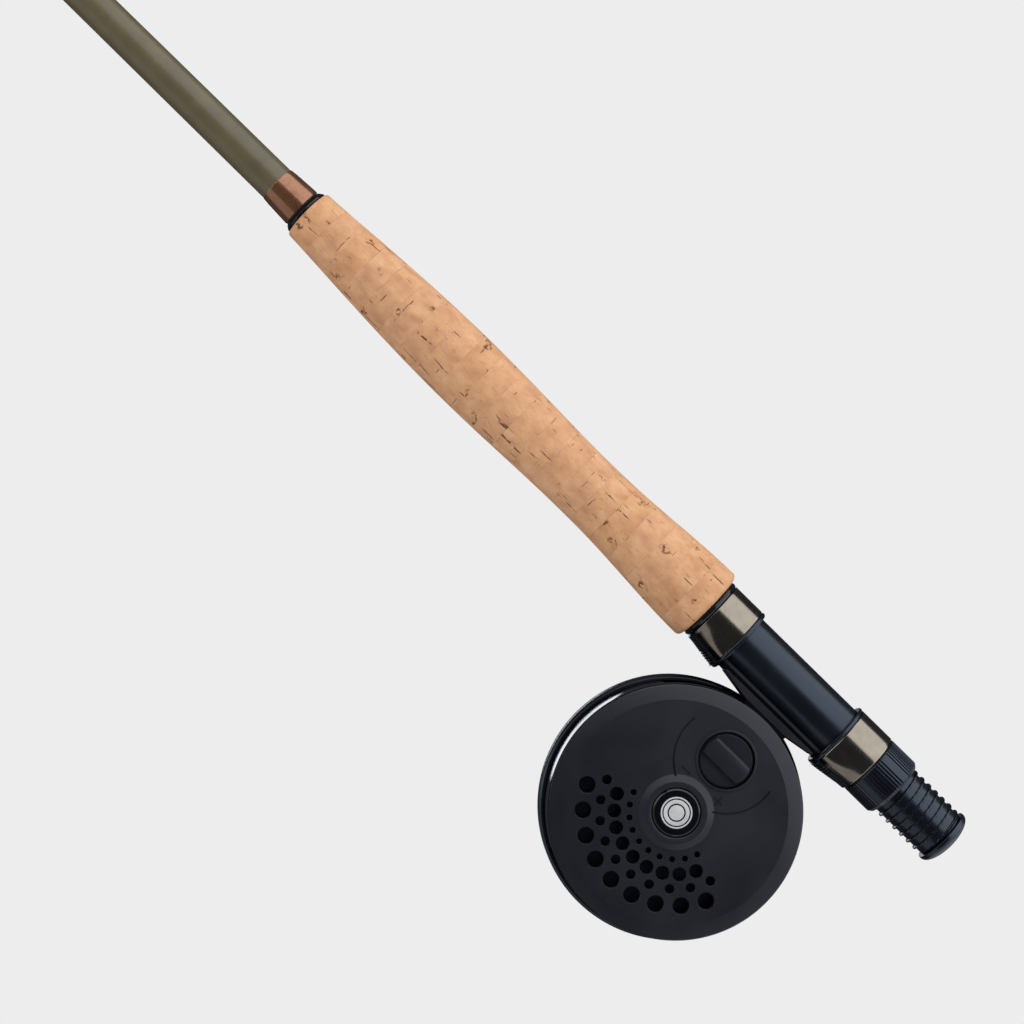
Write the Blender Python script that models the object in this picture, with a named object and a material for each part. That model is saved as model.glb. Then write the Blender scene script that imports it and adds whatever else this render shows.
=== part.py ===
"""A fly rod with its reel: a four-section glass rod, cork grip, down-locking seat and single-action reel.

Lengths are in millimetres, and MM turns them into Blender's metres. The rod's axis is Z, from the butt end
at 0 to the tip top. The reel hangs towards -X, its spindle runs along Y, and its drag knob faces -Y.
"""

import math

import bmesh
import bpy
from mathutils import Vector

MM = 0.001

# The rod: four equal sections, each slipped over the end of the one below.
ROD_LENGTH = 2438.0
SECTION_COUNT = 4
FERRULE = 55.0
GRIP_WRAP_TOP = 288.4
BLANK_RADIUS = 5.9
BLANK_TAPER = 0.0023
BLANK_WALL = 1.1
FERRULE_WALL = 0.7
SLIP_GAP = 0.25
TIP_COVER = 5.6
SECTION_LENGTH = (ROD_LENGTH + (SECTION_COUNT - 1) * FERRULE) / SECTION_COUNT

# The handle, measured up from the butt end.
CAP_FLANGE = 4.2
BARREL_BOTTOM = 4.5
BARREL_TOP = 101.8
BARREL_RADIUS = 9.0
BARREL_BORE = 6.9
THREAD_TOP = 38.0
THREAD_PITCH = 2.88
THREAD_ROOT = 8.1
THREAD_CREST = 8.85
THREAD_SIDES = 16
NUT_BOTTOM = 24.5
NUT_TOP = 35.3
NUT_RADIUS = 10.3
HOOD_BOTTOM = 35.6
HOOD_LIP = 49.2
FIXED_LIP = 89.5
FIXED_TOP = 101.9
HOOD_BULGE = 1.6
CHECK_BOTTOM = 102.2
CORK_BOTTOM = 104.1
CORK_TOP = 275.4
CORK_BORE = 6.9
CORK_WAIST = 156.2
CORK_SWELL = 206.7

# The reel, about its own centre.
REEL_X = -51.7
REEL_Z = 68.7
PLATE_FACE = -13.0
PLATE_INSIDE = -10.5
WALL_END = 9.0
FRAME_RADIUS = 38.2
PLATE_RADIUS = 39.0
WALL_STEP = 3.4
FRAME_INSIDE = 36.2
RIM_RADIUS = 40.7
REEL_SIDES = 40
KNOB_OFFSET = 21.7
KNOB_RADIUS = 8.3
ARBOR_RADIUS = 14.0
FLANGE_RADIUS = 35.6
SPINDLE_RADIUS = 3.0
HANDLE_OFFSET = 30.0
DRUM_RADIUS = 13.0
GEAR_TEETH = 24
PAWL_PIN = (6.5, 15.5)
FOOT_SCREWS = (-5.0, 5.0)
DRAG_LAYER = (-9.2, -7.6)
CLICK_LAYER = (-7.3, -5.7)

# Guides: the height of each up the rod, and the size of the largest and the smallest snake guide.
STRIPPER_Z = 748.0
SNAKE_HEIGHTS = (1068.0, 1373.0, 1633.0, 1885.0, 2045.0, 2193.0, 2323.0)
SNAKE_LARGE = (3.1, 5.6, 0.5)
SNAKE_SMALL = (1.9, 3.5, 0.38)

SHARP_ANGLE = math.radians(35)
WELD = 1e-6

FINISHES = {
    "olive_blank": ((0.13, 0.12, 0.05), 0.35, 0.0),
    "cork": ((0.66, 0.40, 0.23), 0.8, 0.0),
    "thread_wrap": ((0.12, 0.04, 0.02), 0.2, 0.0),
    "black_plastic": ((0.016, 0.017, 0.02), 0.4, 0.0),
    "gloss_black": ((0.012, 0.012, 0.014), 0.15, 0.0),
    "gunmetal": ((0.16, 0.15, 0.14), 0.25, 1.0),
    "bright_steel": ((0.62, 0.62, 0.62), 0.2, 1.0),
    "brass": ((0.62, 0.42, 0.16), 0.3, 1.0),
    "ceramic": ((0.05, 0.05, 0.055), 0.15, 0.0),
    "grey_mark": ((0.35, 0.36, 0.38), 0.35, 0.6),
}
materials = {}


def clear_scene():
    for old in list(bpy.data.objects):
        bpy.data.objects.remove(old)


def make_materials():
    for name, (color, roughness, metallic) in FINISHES.items():
        made = bpy.data.materials.new(name)
        made.use_nodes = True
        shader = made.node_tree.nodes["Principled BSDF"]
        shader.inputs["Base Color"].default_value = (*color, 1)
        shader.inputs["Roughness"].default_value = roughness
        shader.inputs["Metallic"].default_value = metallic
        materials[name] = made


def mesh_object(name, bm, finish, origin=(0, 0, 0)):
    """Makes bm, in millimetres about origin, an object of that finish."""
    bmesh.ops.recalc_face_normals(bm, faces=bm.faces)
    bmesh.ops.scale(bm, vec=(MM, MM, MM), verts=bm.verts)
    mesh = bpy.data.meshes.new(name)
    bm.to_mesh(mesh)
    bm.free()
    mesh.materials.append(materials[finish])
    made = bpy.data.objects.new(name, mesh)
    made.location = Vector(origin) * MM
    bpy.context.scene.collection.objects.link(made)
    smooth(made)
    return made


def smooth(obj):
    obj.data.shade_smooth()
    obj.data.set_sharp_from_angle(angle=SHARP_ANGLE)


def skin(bm, rings):
    """Joins each ring of points to the next, and the last to the first. A ring of one point is a pole."""
    loops = [[bm.verts.new(point) for point in ring] for ring in rings]
    for low, high in zip(loops, loops[1:] + loops[:1]):
        count = max(len(low), len(high))
        for i in range(count):
            j = (i + 1) % count
            corners = (low[i % len(low)], low[j % len(low)], high[j % len(high)], high[i % len(high)])
            corners = list(dict.fromkeys(corners))
            if len(corners) > 2:
                bm.faces.new(corners)


def loft(name, rings, finish, origin=(0, 0, 0)):
    """A solid through rings of equally many points, closed by a flat face at each end."""
    bm = bmesh.new()
    loops = [[bm.verts.new(point) for point in ring] for ring in rings]
    count = len(loops[0])
    for low, high in zip(loops, loops[1:]):
        for i in range(count):
            j = (i + 1) % count
            bm.faces.new((low[i], low[j], high[j], high[i]))
    bm.faces.new(loops[0])
    bm.faces.new(loops[-1])
    return mesh_object(name, bm, finish, origin)


def turned(name, outline, finish, origin=(0, 0, 0), axis="Z", segments=32):
    """A closed outline of (radius, height) points, turned about Z or Y through origin."""
    rings = []
    for radius, height in outline:
        count = segments if radius > 0 else 1
        turns = [2 * math.pi * i / segments for i in range(count)]
        across = [(radius * math.cos(turn), radius * math.sin(turn)) for turn in turns]
        if axis == "Z":
            rings.append([(a, b, height) for a, b in across])
        else:
            rings.append([(a, height, b) for a, b in across])
    bm = bmesh.new()
    skin(bm, rings)
    return mesh_object(name, bm, finish, origin)


def cylinder(name, radius, low, high, origin=(0, 0, 0), axis="Y", segments=16):
    """A plain cylinder, used as a cutter or joined to another piece."""
    outline = [(0, low), (radius, low), (radius, high), (0, high)]
    return turned(name, outline, "black_plastic", origin, axis, segments)


def sleeve(name, heights, outer, inner, finish, segments=32, origin=(0, 0, 0)):
    """A tube along Z. outer and inner give the radius for an angle, counted from -X, and a height."""
    turns = [2 * math.pi * i / segments for i in range(segments)]

    def ring(radius, z):
        return [(-radius(turn, z) * math.cos(turn), -radius(turn, z) * math.sin(turn), z) for turn in turns]

    rings = [ring(outer, z) for z in heights] + [ring(inner, z) for z in reversed(heights)]
    bm = bmesh.new()
    skin(bm, rings)
    return mesh_object(name, bm, finish, origin)


def wire(name, path, finish, sides=6, origin=(0, 0, 0)):
    """A round wire through points of (x, y, z, radius), with closed ends."""
    centres = [Vector(point[:3]) for point in path]
    rings = [[tuple(centres[0])]]
    side = Vector((0, 1, 0))
    for i, point in enumerate(path):
        ahead = centres[min(i + 1, len(path) - 1)] - centres[max(i - 1, 0)]
        ahead.normalize()
        side = (side - ahead * side.dot(ahead)).normalized()
        up = ahead.cross(side)
        turns = [2 * math.pi * k / sides for k in range(sides)]
        rings.append([tuple(centres[i] + point[3] * (side * math.cos(t) + up * math.sin(t))) for t in turns])
    rings.append([tuple(centres[-1])])
    bm = bmesh.new()
    skin(bm, rings)
    return mesh_object(name, bm, finish, origin)


def block(name, low, high, finish="black_plastic", origin=(0, 0, 0)):
    """A box between two corners."""
    ring = [(low[0], low[1]), (high[0], low[1]), (high[0], high[1]), (low[0], high[1])]
    rings = [[(x, y, z) for x, y in ring] for z in (low[2], high[2])]
    return loft(name, rings, finish, origin)


def combine(target, tool, operation):
    """Cuts tool from target, or joins it on, and removes tool."""
    modifier = target.modifiers.new(operation.title(), "BOOLEAN")
    modifier.operation = operation
    modifier.object = tool
    modifier.solver = "EXACT"
    bpy.context.view_layer.update()
    graph = bpy.context.evaluated_depsgraph_get()
    shaped = bpy.data.meshes.new_from_object(target.evaluated_get(graph))
    target.modifiers.clear()
    target.data = shaped
    bpy.data.objects.remove(tool)
    tidy_mesh(shaped)
    smooth(target)


def tidy_mesh(mesh):
    """Leaves a cut mesh in triangles, with no points closer than a thousandth of a millimetre."""
    bm = bmesh.new()
    bm.from_mesh(mesh)
    bmesh.ops.remove_doubles(bm, verts=bm.verts, dist=WELD)
    bmesh.ops.dissolve_degenerate(bm, edges=bm.edges, dist=WELD)
    bmesh.ops.triangulate(bm, faces=bm.faces)
    bm.to_mesh(mesh)
    bm.free()


def cut(target, tool):
    combine(target, tool, "DIFFERENCE")


def join(target, tool):
    combine(target, tool, "UNION")


def ease(share):
    """0 to 1 along half a cosine wave."""
    return (1 - math.cos(math.pi * min(max(share, 0), 1))) / 2


def spaced(low, high, count):
    return [low + (high - low) * i / (count - 1) for i in range(count)]


# ---- The blank ----


def blank_radius(z):
    return BLANK_RADIUS - BLANK_TAPER * (z - GRIP_WRAP_TOP)


def section_bottom(index):
    return index * (SECTION_LENGTH - FERRULE)


def socket_radius(index):
    """The bore of a section's lower end, which slips over the section below."""
    return blank_radius(section_bottom(index)) + SLIP_GAP


def make_butt_section():
    top = SECTION_LENGTH
    low = 14.0
    outline = [(blank_radius(z), z) for z in (low, CORK_TOP, top)]
    outline += [(blank_radius(z) - BLANK_WALL, z) for z in (top, low)]
    turned("butt_section", outline, "olive_blank", segments=24)


def make_upper_section(index, name):
    """A section with a thickened socket at its lower end. The tip section is solid above its socket."""
    bottom = section_bottom(index)
    top = bottom + SECTION_LENGTH
    swell = bottom + FERRULE + 5
    socket = socket_radius(index)
    is_tip = index == SECTION_COUNT - 1
    outline = [(socket + FERRULE_WALL, bottom), (socket + FERRULE_WALL, swell)]
    settled = swell + 20
    outline.append((blank_radius(settled), settled))
    if is_tip:
        outline += [(blank_radius(top), top - TIP_COVER), (0, top - TIP_COVER), (0, swell)]
    else:
        outline += [(blank_radius(top), top), (blank_radius(top) - BLANK_WALL, top)]
        outline.append((blank_radius(settled) - BLANK_WALL, settled))
    outline += [(socket, swell), (socket, bottom)]
    turned(name, outline, "olive_blank", segments=24)


def make_ferrule_wrap(index):
    """A band of thread round the socket's mouth keeps it from splitting."""
    low = section_bottom(index) + 0.6
    inside = socket_radius(index) + FERRULE_WALL + 0.1
    outline = [(inside, low), (inside + 0.4, low + 0.5), (inside + 0.4, low + 12.5), (inside, low + 13.5)]
    turned(f"ferrule_wrap_{index}", outline, "thread_wrap", segments=24)


# ---- Guides ----


def make_stripping_guide():
    """The first guide: a ceramic ring in a steel frame on two feet."""
    surface = blank_radius(STRIPPER_Z)
    ring_x = -(surface + 11.0)
    outline = [(6.1, -1.1), (7.1, -0.9), (7.1, 0.9), (6.1, 1.1)]
    frame = turned("stripping_guide_frame", outline, "bright_steel", (ring_x, 0, STRIPPER_Z), segments=20)
    for side in (-1, 1):
        join(frame, stripper_leg(side, surface, ring_x))
    for way in (-1, 1):
        near, far = sorted((STRIPPER_Z + way * 10.4, STRIPPER_Z + way * 21.0))
        foot = block("foot", (-surface - 0.85, -1.1, near), (-surface - 0.2, 1.1, far), "bright_steel")
        join(frame, foot)
    outline = [(5.0, -0.7), (5.3, -1.3), (5.95, -1.3), (5.95, 1.3), (5.3, 1.3), (5.0, 0.7)]
    turned("stripping_guide_ring", outline, "ceramic", (ring_x, 0, STRIPPER_Z), segments=20)


def stripper_leg(side, surface, ring_x):
    """A wire from the lower foot, up past one side of the ring, and down to the upper foot."""
    foot_x = -surface - 0.62
    ring_side = (ring_x + 4.2, side * 5.2)
    path = []
    for share in spaced(-1, 1, 9):
        rise = math.cos(share * math.pi / 2) ** 0.8 if abs(share) < 1 else 0
        x = foot_x + (ring_side[0] - foot_x) * rise
        y = side * 0.45 + (ring_side[1] - side * 0.45) * rise
        path.append((x, y, STRIPPER_Z + share * 12.0, 0.7 if rise else 0.4))
    return wire("leg", path, "bright_steel")


def make_stripper_wraps():
    """Thread binds each foot to the blank, so the band stands up over the foot."""
    surface = blank_radius(STRIPPER_Z) + 0.12

    def hump(turn):
        return 0.9 * (1 - ease((min(turn, 2 * math.pi - turn) - 0.3) / 0.35))

    for way, name in ((-1, "lower"), (1, "upper")):
        near, far = sorted((STRIPPER_Z + way * 13.5, STRIPPER_Z + way * 23.0))
        sleeve(
            f"stripping_guide_wrap_{name}",
            [near, far],
            lambda turn, z: surface + 0.4 + hump(turn),
            lambda turn, z: surface + hump(turn),
            "thread_wrap",
            40,
        )


def make_snake_guide(number, height):
    """A wire that rises from one foot, crosses over the line's path, and comes down on the other foot."""
    share = number / (len(SNAKE_HEIGHTS) - 1)
    half_width, rise, thick = (a + (b - a) * share for a, b in zip(SNAKE_LARGE, SNAKE_SMALL))
    base = blank_radius(height) + 0.15 + thick
    half_length = 1.2 * rise
    path = [(-base + 0.6 * thick, 0, height - half_length - 9, 0.35 * thick)]
    for step in spaced(-1, 1, 15):
        out = base + (rise - thick) * math.cos(step * math.pi / 2)
        path.append((-out, half_width * math.sin(step * math.pi), height + step * half_length, thick))
    path.append((-base + 0.6 * thick, 0, height + half_length + 9, 0.35 * thick))
    wire(f"snake_guide_{number + 1}", path, "bright_steel")


def make_tip_top():
    """A short tube over the rod's end, with a wire loop for the line."""
    low = ROD_LENGTH - 13.6
    end = ROD_LENGTH - 3.6
    inside = blank_radius(low) + 0.2
    outline = [(inside, low), (inside + 0.45, low), (inside + 0.45, end - 0.6), (inside, end), (0, end)]
    outline += [(0, end - 1), (inside, end - 1)]
    tube = turned("tip_top", outline, "bright_steel", segments=20)
    path = []
    for turn in spaced(0, 2 * math.pi, 17)[:-1]:
        x = -2.6 - 2.15 * math.cos(turn)
        path.append((x, 2.15 * math.sin(turn), ROD_LENGTH - 4.0 - 0.75 * x))
    join(tube, closed_loop("loop", path, 0.42))


def closed_loop(name, centres, radius, sides=6):
    """A ring of wire through points that close on themselves."""
    count = len(centres)
    middle = sum((Vector(point) for point in centres), Vector()) / count
    rings = []
    for i, point in enumerate(centres):
        ahead = (Vector(centres[(i + 1) % count]) - Vector(centres[i - 1])).normalized()
        out = (Vector(point) - middle).normalized()
        up = ahead.cross(out)
        turns = [2 * math.pi * k / sides for k in range(sides)]
        rings.append([tuple(Vector(point) + radius * (out * math.cos(t) + up * math.sin(t))) for t in turns])
    bm = bmesh.new()
    skin(bm, rings)
    return mesh_object(name, bm, "bright_steel")


# ---- Grip and reel seat ----


def cork_radius(z):
    """A half-wells shape: thin at the front, a swell, a waist, and full at the rear."""
    if z > CORK_SWELL:
        rise = math.sin(math.pi / 2 * (CORK_TOP - z) / (CORK_TOP - CORK_SWELL))
        return 8.53 + 3.02 * max(rise, 0) ** 1.15
    if z > CORK_WAIST:
        return 11.55 - 1.05 * ease((CORK_SWELL - z) / (CORK_SWELL - CORK_WAIST))
    return 10.5 + 2.2 * ease(((CORK_WAIST - z) / (CORK_WAIST - 105.5)) ** 1.12)


def make_cork_grip():
    corner = 1.5
    rear = cork_radius(CORK_BOTTOM)
    outline = [(rear - corner, CORK_BOTTOM), (rear, CORK_BOTTOM + corner)]
    outline += [(cork_radius(z), z) for z in spaced(CORK_BOTTOM + 7, CORK_TOP - 0.8, 15)]
    outline += [(cork_radius(CORK_TOP) - 0.6, CORK_TOP), (CORK_BORE, CORK_TOP), (CORK_BORE, CORK_BOTTOM)]
    turned("cork_grip", outline, "cork", segments=24)


def make_checks_and_wrap():
    """The rear ring, the winding check in front of the cork, and the epoxied thread that covers its step."""
    outline = [(BARREL_BORE, CHECK_BOTTOM), (10.4, CHECK_BOTTOM), (10.6, 103), (10.4, 103.8)]
    outline.append((BARREL_BORE, 103.8))
    turned("rear_check", outline, "gloss_black", segments=24)
    outline = [(6.15, 275.7), (7.75, 275.7), (7.6, 276.3), (6.8, 277.4), (6.15, 277.4)]
    turned("winding_check", outline, "gloss_black", segments=24)
    outline = [(6.03, 277.7), (6.65, 277.7), (6.45, 284), (6.2, GRIP_WRAP_TOP), (6.03, GRIP_WRAP_TOP)]
    turned("grip_wrap", outline, "thread_wrap", segments=24)


def make_butt_cap():
    outline = [(0, 0), (3.0, 0), (6.6, 0.8), (8.5, 2.1), (9.3, 3.6), (9.3, CAP_FLANGE)]
    outline += [(6.5, CAP_FLANGE), (6.5, 12.5), (0, 12.5)]
    turned("butt_cap", outline, "gloss_black", segments=24)


def thread_radius(turn, z):
    """Narrow ridges along a helix, fading out at both ends of the thread."""
    if z > THREAD_TOP:
        return BARREL_RADIUS
    phase = (z / THREAD_PITCH - turn / (2 * math.pi)) % 1
    ridge = max(0.0, 1 - abs(phase - 0.5) / 0.3)
    fade = min(1.0, max(0.0, (z - BARREL_BOTTOM) / 1.5), max(0.0, (THREAD_TOP - z) / 1.5))
    return THREAD_ROOT + (THREAD_CREST - THREAD_ROOT) * ridge * fade


def make_seat_barrel():
    rows = int((THREAD_TOP - BARREL_BOTTOM) / THREAD_PITCH * 3)
    heights = spaced(BARREL_BOTTOM, THREAD_TOP, rows) + [THREAD_TOP + 0.6, BARREL_TOP]
    sleeve("seat_barrel", heights, thread_radius, lambda turn, z: BARREL_BORE, "black_plastic", THREAD_SIDES)


def make_locking_nut():
    """A knurled nut: six groups of four grooves, with a plain land between groups."""
    segments = 60
    group = 10

    def outer(turn, z):
        step = round(turn / (2 * math.pi) * segments) % group
        grooved = step < 8 and step % 2 == 0
        end = {NUT_BOTTOM: 9.7, NUT_TOP: 9.9}
        return end.get(z, NUT_RADIUS - (0.4 if grooved else 0))

    heights = [NUT_BOTTOM, NUT_BOTTOM + 1.2, NUT_TOP - 0.6, NUT_TOP]
    sleeve("locking_nut", heights, outer, lambda turn, z: 9.2, "black_plastic", segments)


def bulge(turn, rise):
    """How far a hood stands out over the reel foot: on the -X side only."""
    away = min(turn, 2 * math.pi - turn)
    return rise * (1 - ease((away - math.radians(38)) / math.radians(30)))


def make_hood(prefix, lip, end):
    """A hood: a plastic body with a rolled lip, and a thin metal ring over the rest of it."""
    way = 1 if end > lip else -1
    length = abs(end - lip)

    def rise(z):
        return HOOD_BULGE * ease(1 - 0.92 * abs(z - lip) / length)

    def body(turn, z):
        back = abs(z - lip)
        rolled = 0.85 if back < 1.1 else 0.0
        return 9.7 + bulge(turn, rise(z)) + rolled * (0.6 if back < 0.3 else 1)

    body_heights = sorted(lip + way * back for back in (0, 0.4, 1.0, 1.4, length * 0.6, length))
    sleeve(f"{prefix}_hood", body_heights, body, lambda t, z: 9.2 + bulge(t, rise(z)), "black_plastic", 32)
    ring_heights = sorted(lip + way * back for back in (1.55, length * 0.6, length - 0.05))
    sleeve(
        f"{prefix}_hood_ring",
        ring_heights,
        lambda t, z: 10.4 + bulge(t, rise(z)),
        lambda t, z: 9.98 + bulge(t, rise(z)),
        "gunmetal",
        32,
    )


# ---- Reel frame and foot ----


def make_reel_foot():
    """A saddle under the seat barrel, its ends thinned to slip under the hoods, on a thick middle."""
    half_angle = math.radians(35)
    rings = []
    for z, outer in ((41.5, 9.7), (48.6, 10.5), (88.8, 10.5), (96.2, 9.7)):
        arc = [(outer, a) for a in spaced(-half_angle, half_angle, 9)]
        arc += [(9.28, a) for a in spaced(half_angle, -half_angle, 9)]
        rings.append([(-radius * math.cos(a), radius * math.sin(a), z) for radius, a in arc])
    foot = loft("reel_foot", rings, "black_plastic")
    side = [(-9.8, 50.4), (-10.6, 50.4), (-12.3, 60.6), (-12.3, 76.8), (-10.6, 87.0), (-9.8, 87.0)]
    middle = loft("middle", [[(x, y, z) for x, z in side] for y in (-5.4, 3.6)], "black_plastic")
    join(foot, middle)
    for along in FOOT_SCREWS:
        hole = turned("hole", [(0, -14), (1.5, -14), (1.5, -9.9), (0, -9.9)], "black_plastic", segments=12)
        hole.rotation_euler = (0, math.pi / 2, 0)
        hole.location = (0, 0, (REEL_Z + along) * MM)
        cut(foot, hole)


def make_foot_screw(number, along):
    """A countersunk screw from inside the frame up into the foot."""
    outline = [(0, 15.4), (2.5, 15.4), (1.25, 14.1), (1.25, 10.2), (0, 10.2)]
    screw = turned(f"foot_screw_{number}", [(r, -h) for r, h in outline], "bright_steel", segments=14)
    screw.rotation_euler = (0, math.pi / 2, 0)
    screw.location = (0, 0, (REEL_Z + along) * MM)


def make_reel_frame():
    """The back plate with its hub, and the cage wall round it, open where the line leaves."""
    outline = [(0, -13.1), (7.5, -13.1), (7.5, -14.2), (9.3, -14.2), (11.4, PLATE_FACE), (33.8, PLATE_FACE)]
    outline += [(38.2, -11.9), (PLATE_RADIUS, -11.0), (PLATE_RADIUS, WALL_STEP)]
    outline += [(FRAME_RADIUS, WALL_STEP + 0.4), (FRAME_RADIUS, WALL_END), (FRAME_INSIDE, WALL_END)]
    outline += [(FRAME_INSIDE, PLATE_INSIDE), (6.4, PLATE_INSIDE), (6.4, -7.6), (3.2, -7.6), (3.2, -11.6)]
    outline += [(0, -11.6)]
    frame = turned("reel_frame", outline, "black_plastic", (REEL_X, 0, REEL_Z), "Y", REEL_SIDES)
    pad = [(-15.0, -7.4), (-12.6, -8.3), (-12.6, 8.3), (-15.0, 7.4)]
    rings = [[(x, y, REEL_Z + z) for x, z in pad] for y in (-10.9, 3.6)]
    join(frame, loft("pad", rings, "black_plastic"))
    collar = [(8.0, -12.4), (9.3, -12.4), (9.3, -13.4), (9.0, -13.5), (8.0, -13.5)]
    knob = (REEL_X + KNOB_OFFSET, 0, REEL_Z)
    join(frame, turned("collar", collar, "black_plastic", knob, "Y", 24))
    cut(frame, cylinder("knob_hole", KNOB_RADIUS + 0.3, -20, -9, knob, segments=24))
    for along in FOOT_SCREWS:
        cut(frame, screw_hole(along))
    for middle, half in ((32, 17), (-32, 17), (180, 29)):
        cut(frame, window(middle, half))
    cut(frame, hole_fan())
    for side in (-1, 1):
        post = cylinder("post", 1.0, -10.8, -7.6, (REEL_X + 15.0, 0, REEL_Z + side * 8.4), segments=12)
        join(frame, post)


def screw_hole(along):
    outline = [(0, 15.9), (2.75, 15.9), (2.75, 15.3), (1.5, 14.0), (1.5, 11.9), (0, 11.9)]
    hole = turned("hole", [(r, -h) for r, h in outline], "black_plastic", segments=14)
    hole.rotation_euler = (0, math.pi / 2, 0)
    hole.location = (0, 0, (REEL_Z + along) * MM)
    return hole


def window(middle, half):
    """A cutter through the cage wall: half to each side of middle, in degrees from the rod's side."""
    arc = [math.radians(middle + a) for a in spaced(-half, half, 5)]
    ring = [(34.0, a) for a in arc] + [(41.0, a) for a in reversed(arc)]
    rings = [[(r * math.cos(a), y, r * math.sin(a)) for r, a in ring] for y in (-8.0, 6.2)]
    return loft("window", rings, "black_plastic", (REEL_X, 0, REEL_Z))


def hole_fan():
    """Cutters for four rows of drain holes, spread about the side away from the rod."""
    bm = bmesh.new()
    pitch = math.radians(15.75)
    for distance, diameter, count in ((28.0, 5.05, 9), (23.0, 2.9, 10), (18.6, 4.2, 9), (14.1, 1.8, 10)):
        for i in range(count):
            turn = math.pi + (i - (count - 1) / 2) * pitch
            sides = 8 if diameter > 4 else 6
            place = (distance * math.cos(turn), distance * math.sin(turn))
            add_hole(bm, place, diameter / 2, sides, (-16.0, -9.5))
    return mesh_object("holes", bm, "black_plastic", (REEL_X, 0, REEL_Z))


def add_hole(bm, place, radius, sides, span):
    """Adds a cutter along Y to bm: a prism about place, from one end of span to the other."""
    turns = [2 * math.pi * i / sides for i in range(sides)]
    ring = [(place[0] + radius * math.cos(t), place[1] + radius * math.sin(t)) for t in turns]
    low, high = ([bm.verts.new((a, y, b)) for a, b in ring] for y in span)
    bm.faces.new(low)
    bm.faces.new(high)
    for i in range(sides):
        j = (i + 1) % sides
        bm.faces.new((low[i], low[j], high[j], high[i]))


def make_spindle():
    outline = [(0, -11.3), (2.9, -11.3), (2.9, -7.2), (SPINDLE_RADIUS, -7.2), (SPINDLE_RADIUS, 13.2)]
    outline += [(2.2, 13.2), (2.2, 14.7), (SPINDLE_RADIUS, 14.7), (2.6, 15.6), (0, 15.6)]
    turned("spindle", outline, "bright_steel", (REEL_X, 0, REEL_Z), "Y", 24)


def make_centre_cap():
    outline = [(0, -13.4), (7.2, -13.4), (7.2, -14.0), (6.9, -14.25), (0, -14.35)]
    turned("centre_cap", outline, "grey_mark", (REEL_X, 0, REEL_Z), "Y", 32)


# ---- Drag and click ----


def make_drag_knob():
    outline = [(0, -12.6), (7.9, -12.6), (KNOB_RADIUS, -12.3), (KNOB_RADIUS, -10.25), (9.3, -10.25)]
    outline += [(9.3, -9.5), (2.4, -9.5), (2.4, -7.2), (0, -7.2)]
    origin = (REEL_X + KNOB_OFFSET, 0, REEL_Z)
    knob = turned("drag_knob", outline, "black_plastic", origin, "Y", 24)
    rings = []
    for half_width, half_length, y in ((2.9, 7.6, -12.3), (2.9, 7.6, -12.9), (1.9, 7.2, -14.7)):
        corners = ((-1, -1), (1, -1), (1, 1), (-1, 1))
        rings.append([(a * half_width, y, b * half_length) for a, b in corners])
    join(knob, loft("bar", rings, "black_plastic", origin))


def make_drag_cam():
    """A cam whose radius grows steadily round the side that faces the shoe."""
    growth = 0.9
    rings = []
    for y in DRAG_LAYER:
        ring = []
        for turn in spaced(0, 2 * math.pi, 33)[:-1]:
            radius = 4.0 + growth * max(-1.2, min(1.2, turn - math.pi))
            if abs(turn - math.pi) > 1.2:
                fade = ease((abs(turn - math.pi) - 1.2) / (math.pi - 1.2))
                radius += (4.0 - radius) * fade
            ring.append((radius * math.cos(turn), y, radius * math.sin(turn)))
        rings.append(ring)
    origin = (REEL_X + KNOB_OFFSET, 0, REEL_Z)
    cam = loft("drag_cam", rings, "brass", origin)
    cut(cam, cylinder("hole", 2.7, -12, -5, origin, segments=24))


def make_drag_shoe():
    """A curved shoe between the cam and the drum, slotted over two posts so that it can only slide."""
    bow = 14.1
    reach = math.radians(48)
    arc = [(bow * math.cos(a), bow * math.sin(a)) for a in spaced(-reach, reach, 11)]
    ring = arc + [(13.2, 11.6), (17.3, 11.0), (17.3, -11.0), (13.2, -11.6)]
    rings = [[(a, y, b) for a, b in ring] for y in DRAG_LAYER]
    shoe = loft("drag_shoe", rings, "black_plastic", (REEL_X, 0, REEL_Z))
    for side in (-1, 1):
        low = (REEL_X + 12.75, -12, REEL_Z + side * 8.4 - 1.3)
        high = (REEL_X + 19, -5, REEL_Z + side * 8.4 + 1.3)
        cut(shoe, block("slot", low, high))


def make_click_gear():
    """The drag drum and the click teeth in one piece, fixed to the spool."""
    count = 2 * GEAR_TEETH
    turns = [2 * math.pi * i / count for i in range(count)]

    def ring(radius, y):
        return [(radius(i) * math.cos(t), y, radius(i) * math.sin(t)) for i, t in enumerate(turns)]

    def toothed(i):
        return 9.8 if i % 2 else 11.5

    rings = [ring(lambda i: 7.2, -9.2), ring(lambda i: DRUM_RADIUS, -9.2)]
    rings += [ring(lambda i: DRUM_RADIUS, -7.6), ring(toothed, -7.6), ring(toothed, -5.7)]
    rings.append(ring(lambda i: 7.2, -5.7))
    bm = bmesh.new()
    skin(bm, rings)
    mesh_object("click_gear", bm, "brass", (REEL_X, 0, REEL_Z))


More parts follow.
